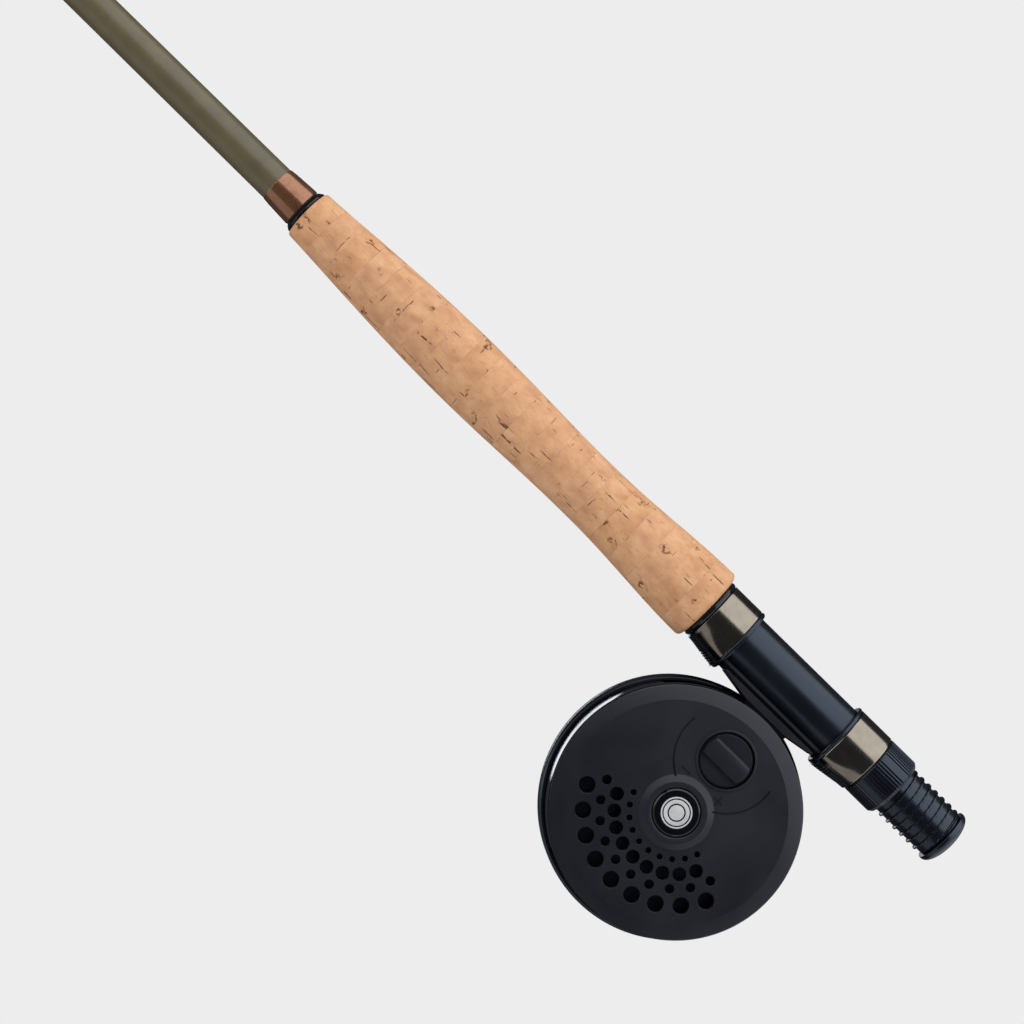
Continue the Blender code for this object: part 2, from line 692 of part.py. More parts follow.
def make_pawl():
    """A small lever whose nose drops between two teeth of the click gear."""
    gap = math.radians(97.5)
    nose = (10.25 * math.cos(gap), 10.25 * math.sin(gap))
    pin = Vector(PAWL_PIN)
    outline = [nose, (nose[0] + 1.6, nose[1] + 2.2), (pin.x + 1.0, pin.y - 1.9), (pin.x + 2.0, pin.y)]
    outline += [(pin.x + 0.8, pin.y + 1.9), (pin.x - 1.6, pin.y + 1.7), (nose[0] - 1.2, nose[1] + 3.2)]
    outline += [(nose[0] - 1.2, nose[1] + 1.7)]
    rings = [[(a - pin.x, y, b - pin.y) for a, b in outline] for y in CLICK_LAYER]
    origin = (REEL_X + pin.x, 0, REEL_Z + pin.y)
    pawl = loft("click_pawl", rings, "bright_steel", origin)
    cut(pawl, cylinder("hole", 1.1, -12, -2, origin, segments=16))
    outline = [(0, -10.2), (1.6, -10.2), (1.6, -7.6), (0.85, -7.6), (0.85, -5.75), (0, -5.75)]
    turned("pawl_pin", outline, "bright_steel", origin, "Y", 16)


def make_pawl_spring():
    """A bent strip of spring steel over the pawl's back, its far end turned down against the plate."""
    path = [(3.9, 18.0), (6.0, 18.6), (10.0, 18.9), (14.0, 18.4), (17.0, 16.4)]
    ring = path + [(a + 0.15, b + 0.4) for a, b in reversed(path)]
    rings = [[(REEL_X + a, y, REEL_Z + b) for a, b in ring] for y in CLICK_LAYER]
    spring = loft("pawl_spring", rings, "bright_steel")
    low = (REEL_X + 16.4, -10.2, REEL_Z + 16.5)
    high = (REEL_X + 17.4, -6.0, REEL_Z + 17.5)
    join(spring, block("leg", low, high))


# ---- Spool ----


def make_spool():
    """Two flanges on an arbor. The outer flange carries the rim that laps over the frame's wall."""
    outline = [(4.9, -5.4), (6.9, -5.4), (6.9, 8.0), (12.2, 8.0), (12.2, -5.4), (FLANGE_RADIUS, -5.4)]
    outline += [(FLANGE_RADIUS, -4.2), (ARBOR_RADIUS, -4.2), (ARBOR_RADIUS, 9.6), (38.8, 9.6), (38.8, 4.4)]
    outline += [(39.9, 4.4), (RIM_RADIUS, 5.2), (RIM_RADIUS, 12.9), (39.7, 14.0), (38.4, 14.0), (37.2, 11.6)]
    outline += [(12.0, 11.6), (11.0, 13.1), (4.9, 13.1)]
    spool = turned("spool", outline, "black_plastic", (REEL_X, 0, REEL_Z), "Y", REEL_SIDES)
    bm = bmesh.new()
    for i in range(12):
        turn = 2 * math.pi * (i + 0.5) / 12
        add_hole(bm, (22.5 * math.cos(turn), 22.5 * math.sin(turn)), 3.8, 12, (8.5, 13.5))
    cut(spool, mesh_object("holes", bm, "black_plastic", (REEL_X, 0, REEL_Z)))
    handle = (REEL_X, 0, REEL_Z - HANDLE_OFFSET)
    cut(spool, cylinder("post_hole", 1.9, 9, 13, handle, segments=16))


def make_spool_bush():
    outline = [(3.25, -5.4), (4.6, -5.4), (4.6, 12.9), (3.25, 12.9)]
    turned("spool_bush", outline, "brass", (REEL_X, 0, REEL_Z), "Y", 24)


def make_latch():
    """A sliding catch in the hub: its keyhole edge sits in the spindle's groove until the tab is pushed."""
    low, high = 13.4, 14.4
    half = 3.9
    ring = [(-7.7, -half), (8.6, -half), (8.6, half), (-7.7, half)]
    place = (REEL_X, 0, REEL_Z)
    latch = loft("spool_latch", [[(a, y, b) for a, b in ring] for y in (low, high)], "bright_steel", place)
    opening = [(3.3 * math.cos(t), 3.3 * math.sin(t)) for t in spaced(-math.pi / 2, math.pi / 2, 9)]
    opening += [(-2.55, 2.5), (-2.55, -2.5)]
    cut(latch, loft("keyhole", [[(a, y, b) for a, b in opening] for y in (12, 16)], "bright_steel", place))
    join(latch, block("tab", (8.0, low + 0.2, -2.6), (10.6, 17.0, 2.6), "bright_steel", place))
    join(latch, block("lug", (-3.75, high - 0.2, -1.5), (-3.3, 16.0, 1.5), "bright_steel", place))


def make_latch_cover():
    """A round cap over the latch, open at the tab, held by two screws."""
    outline = [(0, 16.6), (0, 17.9), (9.6, 17.9), (10.8, 16.9), (10.8, 13.45), (9.8, 13.45), (9.8, 16.6)]
    cover = turned("latch_cover", outline, "black_plastic", (REEL_X, 0, REEL_Z), "Y", 20)
    slot = block("slot", (REEL_X + 6.6, 13.0, REEL_Z - 2.95), (REEL_X + 12, 19, REEL_Z + 2.95))
    cut(cover, slot)
    for side in (-1, 1):
        place = (REEL_X, 0, REEL_Z + side * 7.2)
        join(cover, cylinder("boss", 1.9, 13.45, 17.0, place, segments=10))
        cut(cover, cylinder("hole", 1.2, 12, 19, place, segments=10))
        cut(cover, cylinder("sink", 2.0, 17.2, 19, place, segments=10))


def make_cover_screw(number, side):
    outline = [(0, 13.5), (0.9, 13.5), (0.9, 17.4), (1.75, 17.45), (1.75, 18.0), (1.3, 18.3), (0, 18.3)]
    turned(f"cover_screw_{number}", outline, "bright_steel", (REEL_X, 0, REEL_Z + side * 7.2), "Y", 14)


def make_latch_spring():
    """A short coil that keeps the latch in the groove."""
    path = []
    coils = 4
    for share in spaced(0, 1, coils * 8 + 1):
        turn = 2 * math.pi * coils * share
        path.append((-7.9 + 3.0 * share, 15.5 + 0.62 * math.cos(turn), 0.62 * math.sin(turn), 0.16))
    wire("latch_spring", path, "bright_steel", 5, (REEL_X, 0, REEL_Z))


def make_handle():
    """The post with its collar and head, and the turned knob that spins on it."""
    place = (REEL_X, 0, REEL_Z - HANDLE_OFFSET)
    outline = [(0, 9.9), (1.55, 9.9), (1.55, 11.95), (3.4, 11.95), (3.4, 13.2), (1.55, 13.2), (1.55, 33.0)]
    outline += [(2.6, 33.0), (2.6, 33.9), (2.0, 34.4), (0, 34.4)]
    turned("handle_post", outline, "bright_steel", place, "Y", 20)
    outline = [(1.85, 13.6), (4.6, 13.6), (5.0, 14.4), (4.3, 18.0), (4.5, 23.0), (5.7, 30.0), (6.0, 33.0)]
    outline += [(5.4, 34.6), (3.1, 34.6), (3.1, 32.6), (1.85, 32.6)]
    turned("handle_knob", outline, "black_plastic", place, "Y", 18)


def make_counterweight():
    place = (REEL_X, 0, REEL_Z + HANDLE_OFFSET)
    outline = [(0, 11.95), (4.6, 11.95), (4.6, 13.6), (4.1, 14.1), (0, 14.1)]
    turned("counterweight", outline, "bright_steel", place, "Y", 20)


def build():
    clear_scene()
    make_materials()
    make_butt_section()
    for index, name in enumerate(("lower_middle_section", "upper_middle_section", "tip_section"), 1):
        make_upper_section(index, name)
        make_ferrule_wrap(index)
    make_stripping_guide()
    make_stripper_wraps()
    for number, height in enumerate(SNAKE_HEIGHTS):
        make_snake_guide(number, height)
    make_tip_top()
    make_cork_grip()
    make_checks_and_wrap()
    make_butt_cap()
    make_seat_barrel()
    make_locking_nut()
    make_hood("sliding", HOOD_LIP, HOOD_BOTTOM)
    make_hood("fixed", FIXED_LIP, FIXED_TOP)
    make_reel_foot()
    for number, along in enumerate(FOOT_SCREWS, 1):
        make_foot_screw(number, along)
    make_reel_frame()
    make_spindle()
    make_centre_cap()
    make_drag_knob()
    make_drag_cam()
    make_drag_shoe()
    make_click_gear()
    make_pawl()
    make_pawl_spring()
    make_spool()
    make_spool_bush()
    make_latch()
    make_latch_cover()
    for number, side in ((1, -1), (2, 1)):
        make_cover_screw(number, side)
    make_latch_spring()
    make_handle()
    make_counterweight()


build()
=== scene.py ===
# %% [markdown]
# # A fly rod with its reel
#
# The object is a fly rod in four sections, held by a cork grip, with a reel on the seat behind the
# grip. The moving model is loaded first, as a fixed frame. Every piece made below sits where that
# frame says, and most take the place of one or more of its plain solids, so nothing has to be fitted.
# The rod's axis is Z, from the butt end at 0 up to the tip. The reel hangs towards -X, and its plate
# faces -Y.

# %% Load the frame
import math

import bmesh
import bpy
from mathutils import Matrix, Vector


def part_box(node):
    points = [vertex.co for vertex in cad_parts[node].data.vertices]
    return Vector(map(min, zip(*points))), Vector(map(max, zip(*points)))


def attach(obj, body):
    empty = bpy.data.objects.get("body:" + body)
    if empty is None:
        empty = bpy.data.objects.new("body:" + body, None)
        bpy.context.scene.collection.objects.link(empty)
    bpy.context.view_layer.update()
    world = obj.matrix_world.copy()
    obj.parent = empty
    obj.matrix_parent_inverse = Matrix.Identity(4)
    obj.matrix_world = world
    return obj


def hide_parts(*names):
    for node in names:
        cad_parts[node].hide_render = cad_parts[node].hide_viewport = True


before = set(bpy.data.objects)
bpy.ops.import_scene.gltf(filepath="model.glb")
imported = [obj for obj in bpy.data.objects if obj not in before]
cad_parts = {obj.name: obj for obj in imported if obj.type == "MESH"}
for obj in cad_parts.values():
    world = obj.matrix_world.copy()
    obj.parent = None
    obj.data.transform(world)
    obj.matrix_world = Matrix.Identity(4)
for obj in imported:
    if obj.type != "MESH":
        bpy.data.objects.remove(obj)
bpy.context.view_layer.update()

MM = 0.001

# %% [markdown]
# ## Where things are
#
# Shapes below are written in millimetres. The places that matter are read from the frame: the ends
# of the grip and the seat, and the middle of the reel. A lathe in a workshop would be set from the
# same few numbers.

# %% Places


def mm_box(node):
    """The lowest and the highest corner of a solid of the frame, in millimetres."""
    low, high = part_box(node)
    return low / MM, high / MM


def middle_of(node):
    """The middle of a solid in x and z. Its y is left at the rod's axis."""
    low, high = mm_box(node)
    return (low.x + high.x) / 2, 0, (low.z + high.z) / 2


cork_low, cork_high = mm_box("cork_grip")
barrel_low, barrel_high = mm_box("seat_barrel")
REEL = middle_of("spindle")
REEL_X, REEL_Z = REEL[0], REEL[2]
KNOB_X = middle_of("drag_knob")[0]
KNOB = (KNOB_X, 0, REEL_Z)
print(f"grip {cork_low.z:.1f} to {cork_high.z:.1f} mm, reel about ({REEL_X:.1f}, {REEL_Z:.1f})")

# %% [markdown]
# ## Camera
#
# The reel is a good check on the camera: its two round edges are nearly concentric, which says that
# the camera stands on the reel's side of the rod and about three quarters of a metre away. The rod
# runs from the lower right to the upper left, so the camera is rolled by a little over 45 degrees.

# %% Make the camera
DISTANCE = 0.755
AIM = Vector((-0.0213, 0, 0.167))
VIEW_WIDTH = 313.14985 * MM  # what the view takes in at the rod
ROLL = math.radians(-45.55)
SENSOR = 36.0

camera = bpy.data.objects.new("camera", bpy.data.cameras.new("camera"))
bpy.context.scene.collection.objects.link(camera)
camera.location = (REEL_X * MM, -DISTANCE, AIM.z)
ahead = (AIM - camera.location).normalized()
level = ahead.to_track_quat("-Z", "Y").to_matrix()
camera.rotation_euler = (level @ Matrix.Rotation(ROLL, 3, "Z")).to_euler()
camera.data.sensor_width = SENSOR
camera.data.lens = SENSOR * (AIM - camera.location).length / VIEW_WIDTH
camera.data.clip_start = 0.05
camera.data.clip_end = 50
bpy.context.scene.camera = camera
bpy.context.scene.view_settings.view_transform = "Standard"
print(f"lens {camera.data.lens:.1f} mm")

# %% [markdown]
# ## Nodes and colours
#
# Colours are written as sRGB hex values, as a paint chart gives them, and one function turns them
# into the linear light that the shaders work in. One more function adds a node, sets it and links it.

# %% Helpers for materials


def tint(code):
    """The linear colour of an sRGB hex value."""
    parts = [int(code[i:i + 2], 16) / 255 for i in (1, 3, 5)]
    return (*[p / 12.92 if p <= 0.04045 else ((p + 0.055) / 1.055) ** 2.4 for p in parts], 1)


def add(tree, kind, inputs=None, stops=(), **settings):
    """Adds a node to tree. Each input is a value, or another node's output to link from.

    Stops are the marks of a colour ramp, from left to right: a position, and a colour or a grey.
    """
    node = tree.nodes.new("ShaderNode" + kind)
    for key, value in settings.items():
        setattr(node, key, value)
    for key, value in (inputs or {}).items():
        if isinstance(value, bpy.types.NodeSocket):
            tree.links.new(value, node.inputs[key])
        else:
            node.inputs[key].default_value = value
    for index, (position, value) in enumerate(stops):
        ramp = node.color_ramp.elements
        mark = ramp[index] if index < len(ramp) else ramp.new(position)
        mark.position = position
        mark.color = value if isinstance(value, tuple) else (value, value, value, 1)
    return node


def new_finish(name, slot, **surface):
    """A material with one shader, its plain values set on the shader's own sockets.

    The point is a place on the surface in metres, in the frame's own axes. Patterns start from it.
    """
    made = bpy.data.materials.new(name)
    made.use_nodes = True
    made["slot"] = slot
    shader = made.node_tree.nodes["Principled BSDF"]
    for key, value in surface.items():
        shader.inputs[key.replace("_", " ")].default_value = value
    point = add(made.node_tree, "TexCoord").outputs["Object"]
    return made, made.node_tree, shader, point


def dress(tree, shader, colour, height, depth_mm):
    """Links a finish's colour, and its relief: a height from 0 to 1 that stands depth_mm tall."""
    tree.links.new(colour, shader.inputs["Base Color"])
    relief = add(tree, "Bump", {"Height": height, "Distance": depth_mm * MM, "Strength": 1.0})
    tree.links.new(relief.outputs["Normal"], shader.inputs["Normal"])


# %% [markdown]
# ## Cork
#
# The grip is natural cork: rings about 8 mm thick, punched from bark, glued end to end on the blank
# and sanded round. Bark has pores that run through it. A ring's side cuts them lengthways, so they
# show as short dark streaks along the rod that stop dead at the next ring's seam, with a few cracks
# across and some crumbled pits. Sanding leaves very fine lines round the grip. Images of cork would
# repeat and stretch, so the streaks are noise drawn out along Z, and the number of the ring shifts
# the noise sideways so that no streak crosses a seam.

# %% Cork finish
CORK_RINGS = 21
RING_MM = (cork_high.z - cork_low.z) / CORK_RINGS
PORE_MM = (1.5, 1.5, 16.0)      # one pore's width with the gap beside it, and its length
PORE_GAP_MM = (0.9, 0.9, 1.6)   # where a pore is filled with dust
CRACK_MM = (8.0, 8.0, 0.9)
PIT_MM = (7.0, 7.0, 7.0)
CRUMB_MM = (1.1, 1.1, 1.1)
SEAM_PART_MM = (5.0, 5.0, 200.0)
BARK_MM = (4.0, 4.0, 6.0)
FLECK_MM = (0.6, 0.6, 2.2)
SANDING_MM = (30.0, 30.0, 0.5)  # real sanding lines are 0.1 mm apart: drawn coarser, so that they show
CORK_DEPTH_MM = 0.22

cork, tree, shader, point = new_finish("sanded_cork", "cork", Roughness=0.72, IOR=1.4)
axes = add(tree, "SeparateXYZ", {"Vector": point})
rings_up = add(tree, "MapRange", {
    "Value": axes.outputs["Z"], "From Min": cork_low.z * MM, "From Max": cork_high.z * MM,
    "To Min": 0.0, "To Max": float(CORK_RINGS)}, clamp=False).outputs["Result"]
ring_number = add(tree, "Math", {0: rings_up}, operation="FLOOR").outputs[0]
ring_share = add(tree, "Math", {0: rings_up}, operation="FRACT").outputs[0]
ring_chance = add(tree, "TexWhiteNoise", {"W": ring_number}, noise_dimensions="1D")


def bark_pattern(size_mm, shift, detail=2.0):
    """Noise as coarse as size_mm in x, y and z, moved by an amount that each ring has its own of."""
    steps = [1 / (size * MM) for size in size_mm]
    scaled = add(tree, "VectorMath", {0: point, 1: steps}, operation="MULTIPLY")
    moved = add(tree, "VectorMath", {0: ring_chance.outputs["Color"], 1: (shift,) * 3}, operation="MULTIPLY")
    spot = add(tree, "VectorMath", {0: scaled.outputs[0], 1: moved.outputs[0]}, operation="ADD")
    return add(tree, "TexNoise", {
        "Vector": spot.outputs[0], "Scale": 1.0, "Detail": detail, "Roughness": 0.55}).outputs["Fac"]


def marks(pattern, start, full, strength=1.0):
    """Nothing where a pattern is below start, and a mark of that strength where it is above full."""
    return add(tree, "ValToRGB", {"Fac": pattern}, [(start, 0.0), (full, strength)]).outputs["Color"]


def joined(first, second, operation):
    """Two patterns worked into one."""
    return add(tree, "Math", {0: first, 1: second}, operation=operation).outputs[0]


def stained(cork_colour, where, colour):
    """cork_colour, with another colour wherever there is a mark."""
    return add(tree, "Mix", {"Factor": where, 6: cork_colour, 7: tint(colour)}, data_type="RGBA").outputs[2]


pores = marks(bark_pattern(PORE_MM, 40.0), 0.655, 0.705)
pore_gaps = marks(bark_pattern(PORE_GAP_MM, 9.0), 0.40, 0.50)
streaks = joined(pores, pore_gaps, "MULTIPLY")
cracks = marks(bark_pattern(CRACK_MM, 25.0), 0.715, 0.75)
pit_places = marks(bark_pattern(PIT_MM, 60.0, 1.0), 0.67, 0.73)
crumbs = marks(bark_pattern(CRUMB_MM, 15.0, 4.0), 0.50, 0.56)
pits = joined(pit_places, crumbs, "MULTIPLY")
holes = joined(joined(streaks, cracks, "MAXIMUM"), pits, "MAXIMUM")
from_middle = add(tree, "Math", {0: joined(ring_share, 0.5, "SUBTRACT")}, operation="ABSOLUTE").outputs[0]
seam_parts = marks(bark_pattern(SEAM_PART_MM, 30.0, 1.0), 0.52, 0.66, 0.9)
seam_lines = joined(marks(from_middle, 0.478, 0.497), seam_parts, "MULTIPLY")
flecks = marks(bark_pattern(FLECK_MM, 3.0), 0.60, 0.72, 0.6)

bark = add(tree, "ValToRGB", {"Fac": bark_pattern(BARK_MM, 12.0, 5.0)}, [
    (0.28, tint("#AF7C57")), (0.44, tint("#BA8A64")), (0.56, tint("#C29268")), (0.74, tint("#CA9F7B"))])
chance = ring_chance.outputs["Value"]
lightness = add(tree, "MapRange", {"Value": chance, "To Min": 0.985, "To Max": 1.015}).outputs[0]
richness = add(tree, "MapRange", {"Value": chance, "To Min": 1.02, "To Max": 0.98}).outputs[0]
ring_tint = add(tree, "HueSaturation", {
    "Color": bark.outputs["Color"], "Value": lightness, "Saturation": richness}).outputs[0]
flecked = stained(ring_tint, flecks, "#A8734A")
seamed = stained(flecked, seam_lines, "#9A6A45")
coloured = stained(seamed, holes, "#6E4328")
sanding = joined(bark_pattern(SANDING_MM, 0.0), 0.3, "MULTIPLY")
dress(tree, shader, coloured, joined(sanding, holes, "SUBTRACT"), CORK_DEPTH_MM)
print("cork:", CORK_RINGS, "rings of", round(RING_MM, 2), "mm")

# %% [markdown]
# ## Glass fibre blank
#
# The blank is woven glass fibre rolled on a steel mandrel, bound with resin and sanded, then given a
# thin satin lacquer with olive pigment. The lacquer hides the weave, so the eye gets an even colour,
# a broad soft highlight and a trace of the tape's spiral.

# %% Blank finish
SPIRAL_MM = 2.2          # the pitch that the shrink tape leaves along the blank
SPIRAL_DEPTH_MM = 0.006
WAVE_LENGTH = 0.314      # of the wave texture at a scale of 1

blank, tree, shader, point = new_finish(
    "lacquered_glass_fibre", "olive_blank", Roughness=0.38, IOR=1.5, Coat_Weight=0.25, Coat_Roughness=0.3)
tape = add(tree, "Mapping", {"Vector": point, "Scale": (0.25, 0.25, 1.0)})
bands = add(tree, "TexWave", {
    "Vector": tape.outputs[0], "Scale": WAVE_LENGTH / (SPIRAL_MM * MM), "Distortion": 1.2,
    "Detail": 1.0}, bands_direction="Z").outputs["Fac"]
cloud = add(tree, "TexNoise", {"Vector": point, "Scale": 140.0, "Detail": 4.0}).outputs["Fac"]
olive = add(tree, "ValToRGB", {"Fac": cloud}, [(0.3, tint("#4F4830")), (0.7, tint("#585036"))])
dress(tree, shader, olive.outputs["Color"], bands, SPIRAL_DEPTH_MM)

# %% [markdown]
# ## Thread under varnish
#
# Each guide's foot and the front of the grip are bound with nylon thread, turn beside turn, and
# flooded with clear two-part varnish. The colour is darker between the turns, which is painted shade
# in the grooves, and varies at random where the varnish soaked in. The thread's lustre under the
# varnish is close to a metal's, so the shader is partly metallic. The varnish fills the grooves and
# gives the gloss.

# %% Thread finish
THREAD_MM = 0.36         # real thread is 0.15 mm: drawn coarser, so that its turns show
THREAD_DEPTH_MM = 0.012

varnished_thread, tree, shader, point = new_finish(
    "varnished_thread", "thread_wrap", Metallic=0.8, Roughness=0.24, Coat_Weight=1.0, Coat_Roughness=0.04)
turns = add(tree, "TexWave", {
    "Vector": point, "Scale": WAVE_LENGTH / (THREAD_MM * MM), "Distortion": 0.6, "Detail": 2.0,
    "Detail Scale": 3.0}, bands_direction="Z").outputs["Fac"]
soaked = add(tree, "TexNoise", {"Vector": point, "Scale": 260.0, "Detail": 3.0}).outputs["Fac"]
# Darker where the turns' wave is low: painted shade in the grooves between turns, times random varnish soak.
turn_shade_and_soak = joined(turns, soaked, "MULTIPLY")
nylon = add(tree, "ValToRGB", {"Fac": turn_shade_and_soak}, [(0.05, tint("#74452B")), (0.5, tint("#B5805C"))])
dress(tree, shader, nylon.outputs["Color"], turns, THREAD_DEPTH_MM)

# %% [markdown]
# ## Moulded plastic
#
# The reel's frame and spool, the hoods, the nut and the barrel are moulded in black glass-filled
# plastic. The face of the reel comes from a spark-eroded mould, which gives an even fine grain and
# little gloss. The cage wall comes from a polished mould and is shiny. The barrel, the hoods and the
# knob lie between them.

# %% Plastic finishes
GRAIN_MM = 0.42          # spark-erosion grain is 0.1 mm: drawn coarser, so that it shows
FLOW_MM = 1000 / 45      # the spacing of the streaks where the plastic flowed, 45 to a metre


def black_plastic(name, base, light, roughness, grain_depth, specular=0.5, sheen="#E4EAF6"):
    """Black plastic with mould grain of that depth, and flow marks where it filled the mould."""
    made, tree, shader, point = new_finish(name, "black_plastic", Roughness=roughness, IOR=1.5)
    shader.inputs["Specular IOR Level"].default_value = specular
    shader.inputs["Specular Tint"].default_value = tint(sheen)
    fine = add(tree, "TexNoise", {
        "Vector": point, "Scale": 1 / (GRAIN_MM * MM), "Detail": 2.0}).outputs["Fac"]
    flow = add(tree, "TexNoise", {
        "Vector": point, "Scale": 1 / (FLOW_MM * MM), "Detail": 5.0, "Distortion": 0.6}).outputs["Fac"]
    worn = add(tree, "MapRange", {
        "Value": flow, "From Min": 0.3, "From Max": 0.7,
        "To Min": roughness - 0.05, "To Max": roughness + 0.06})
    tree.links.new(worn.outputs[0], shader.inputs["Roughness"])
    black = add(tree, "ValToRGB", {"Fac": flow}, [(0.35, tint(base)), (0.7, tint(light))])
    dress(tree, shader, black.outputs["Color"], fine, grain_depth)
    return made


grained_plastic = black_plastic("grained_moulded_plastic", "#17171C", "#1C1C21", 0.37, 0.01)
polished_plastic = black_plastic("polished_moulded_plastic", "#040405", "#070709", 0.1, 0.0005, 0.7)
satin_plastic = black_plastic("satin_moulded_plastic", "#090A0E", "#0D0E13", 0.28, 0.002, 0.8, "#CFE4FF")
knob_plastic = black_plastic("gloss_moulded_plastic", "#1A1A1F", "#1F1F25", 0.2, 0.001, 0.6)

# %% [markdown]
# ## Metals and glaze
#
# The rings over the hoods are aluminium, polished and anodised a warm grey. The guides, screws and
# handle post are stainless steel, the bush and gear are brass, and the caps and checks are black
# anodised or enamelled. Metals get their look from what they reflect, so each has only faint turning
# lines and a little unevenness in its roughness.

# %% Metal finishes
TOOL_DEPTH_MM = 0.0003
STREAK = 0.03            # along a tool line the pattern changes this much more slowly


def metal(name, slot, dark, light, roughness, line_mm, axis="Z", metallic=1.0):
    """Turned metal with faint tool lines across the axis that it was turned on."""
    made, tree, shader, point = new_finish(name, slot, Metallic=metallic, Roughness=roughness)
    stretch = (STREAK, STREAK, 1.0) if axis == "Z" else (STREAK, 1.0, STREAK)
    lines = add(tree, "Mapping", {"Vector": point, "Scale": stretch}).outputs[0]
    tool = add(tree, "TexNoise", {
        "Vector": lines, "Scale": 1 / (line_mm * MM), "Detail": 2.0}).outputs["Fac"]
    cloud = add(tree, "TexNoise", {"Vector": point, "Scale": 300.0, "Detail": 3.0}).outputs["Fac"]
    uneven = add(tree, "MapRange", {
        "Value": tool, "To Min": roughness * 0.92, "To Max": roughness * 1.1}).outputs[0]
    tree.links.new(uneven, shader.inputs["Roughness"])
    colour = add(tree, "ValToRGB", {"Fac": cloud}, [(0.3, tint(dark)), (0.7, tint(light))])
    dress(tree, shader, colour.outputs["Color"], tool, TOOL_DEPTH_MM)
    return made


anodised_grey = metal("anodised_warm_grey_aluminium", "gunmetal", "#8B8478", "#989184", 0.17, 0.3)
stainless = metal("polished_stainless_steel", "bright_steel", "#B4B4B2", "#C6C6C4", 0.16, 0.3)
turned_brass = metal("turned_brass", "brass", "#B08A48", "#C49A55", 0.28, 0.3, "Y")
black_anodised = metal("black_anodised_aluminium", "gloss_black", "#0B0B0D", "#101013", 0.16, 0.4, "Z", 0.0)
glazed_ceramic = metal("glazed_ceramic", "ceramic", "#16161A", "#1E1E22", 0.06, 0.5, "Z", 0.0)
badge_metal = metal("printed_aluminium", "grey_mark", "#C9CBCB", "#DADCDA", 0.35, 0.25, "Y", 0.4)
print("finishes:", len(bpy.data.materials))

# %% [markdown]
# ## Turning and sweeping
#
# Most of a rod is turned on a lathe, so one function turns an outline of (radius, height) points.
# Another rounds the outline's corners first, because no real edge is quite sharp, and the light that
# runs along a rounded edge is what makes it look made. Pieces that aren't quite round are turned and
# then pushed out where they bulge. Wires are swept along a line of points.

# %% Shape helpers


def soften(outline, radius, steps=4):
    """A closed outline with its corners rounded. Points on the axis are kept."""
    soft = []
    for i, corner in enumerate(outline):
        at = Vector(corner)
        back = Vector(outline[i - 1]) - at
        on = Vector(outline[(i + 1) % len(outline)]) - at
        half = back.angle(on) / 2
        reach = min(radius / math.tan(half), 0.45 * back.length, 0.45 * on.length) if half < 1.5 else 0
        if at.x < 1e-6 or reach < 0.01:
            soft.append(tuple(at))
            continue
        start, end = at + back.normalized() * reach, at + on.normalized() * reach
        for k in range(steps + 1):
            t = k / steps
            soft.append(tuple(start * (1 - t) ** 2 + at * 2 * t * (1 - t) + end * t ** 2))
    return soft


def lathe(outline, sides=96, axis="Z", centre=(0, 0, 0)):
    """A closed outline of (radius, height) in millimetres, turned about an axis through centre."""
    bm = bmesh.new()
    loops = []
    for radius, height in outline:
        turns = [2 * math.pi * i / sides for i in range(sides if radius > 1e-6 else 1)]
        loop = []
        for turn in turns:
            a, b = -radius * math.cos(turn), -radius * math.sin(turn)
            spot = (a, b, height) if axis == "Z" else (a, height, b)
            loop.append(bm.verts.new([p + q for p, q in zip(spot, centre)]))
        loops.append(loop)
    for low, high in zip(loops, loops[1:] + loops[:1]):
        count = max(len(low), len(high))
        for i in range(count):
            j = (i + 1) % count
            ring = (low[i % len(low)], low[j % len(low)], high[j % len(high)], high[i % len(high)])
            ring = list(dict.fromkeys(ring))
            if len(ring) > 2:
                bm.faces.new(ring)
    return bm


def push(bm, how_far):
    """Moves each point out from the rod's axis by how_far(turn from -X, radius, height)."""
    for vert in bm.verts:
        radius = math.hypot(vert.co.x, vert.co.y)
        if radius > 1e-6:
            turn = math.atan2(-vert.co.y, -vert.co.x) % (2 * math.pi)
            grown = 1 + how_far(turn, radius, vert.co.z) / radius
            vert.co.x *= grown
            vert.co.y *= grown
    return bm


def sweep(path, sides=12, closed=False):
    """A round wire in millimetres through points of (x, y, z, radius)."""
    spots = [Vector(p[:3]) for p in path]
    count = len(spots)
    bm = bmesh.new()
    loops = []
    side = Vector((0, 1, 0))
    middle = sum(spots, Vector()) / count
    for i, spot in enumerate(spots):
        after = spots[(i + 1) % count] if closed else spots[min(i + 1, count - 1)]
        before = spots[i - 1] if closed or i else spots[0]
        ahead = (after - before).normalized()
        side = spot - middle if closed else side
        side = (side - ahead * side.dot(ahead)).normalized()
        up = ahead.cross(side)
        turns = [2 * math.pi * k / sides for k in range(sides)]
        radius = path[i][3]
        loops.append([
            bm.verts.new(spot + radius * (side * math.cos(t) + up * math.sin(t))) for t in turns])
    pairs = list(zip(loops, loops[1:])) + ([(loops[-1], loops[0])] if closed else [])
    for low, high in pairs:
        for k in range(sides):
            n = (k + 1) % sides
            bm.faces.new((low[k], low[n], high[n], high[k]))
    if not closed:
        bm.faces.new(loops[0])
        bm.faces.new(loops[-1])
    return bm


def prism(rings, centre=(0, 0, 0)):
    """A solid through rings of equally many points, closed flat at each end."""
    bm = bmesh.new()
    loops = [[bm.verts.new([p + q for p, q in zip(spot, centre)]) for spot in ring] for ring in rings]
    for low, high in zip(loops, loops[1:]):
        for i in range(len(low)):
            j = (i + 1) % len(low)
            bm.faces.new((low[i], low[j], high[j], high[i]))
    bm.faces.new(loops[0])
    bm.faces.new(loops[-1])
    return bm


def block(low, high, centre=(0, 0, 0)):
    """A box between two corners."""
    corners = ((0, 0), (1, 0), (1, 1), (0, 1))
    x, y, z = zip(low, high)
    return prism([[(x[a], y[b], height) for a, b in corners] for height in z], centre)


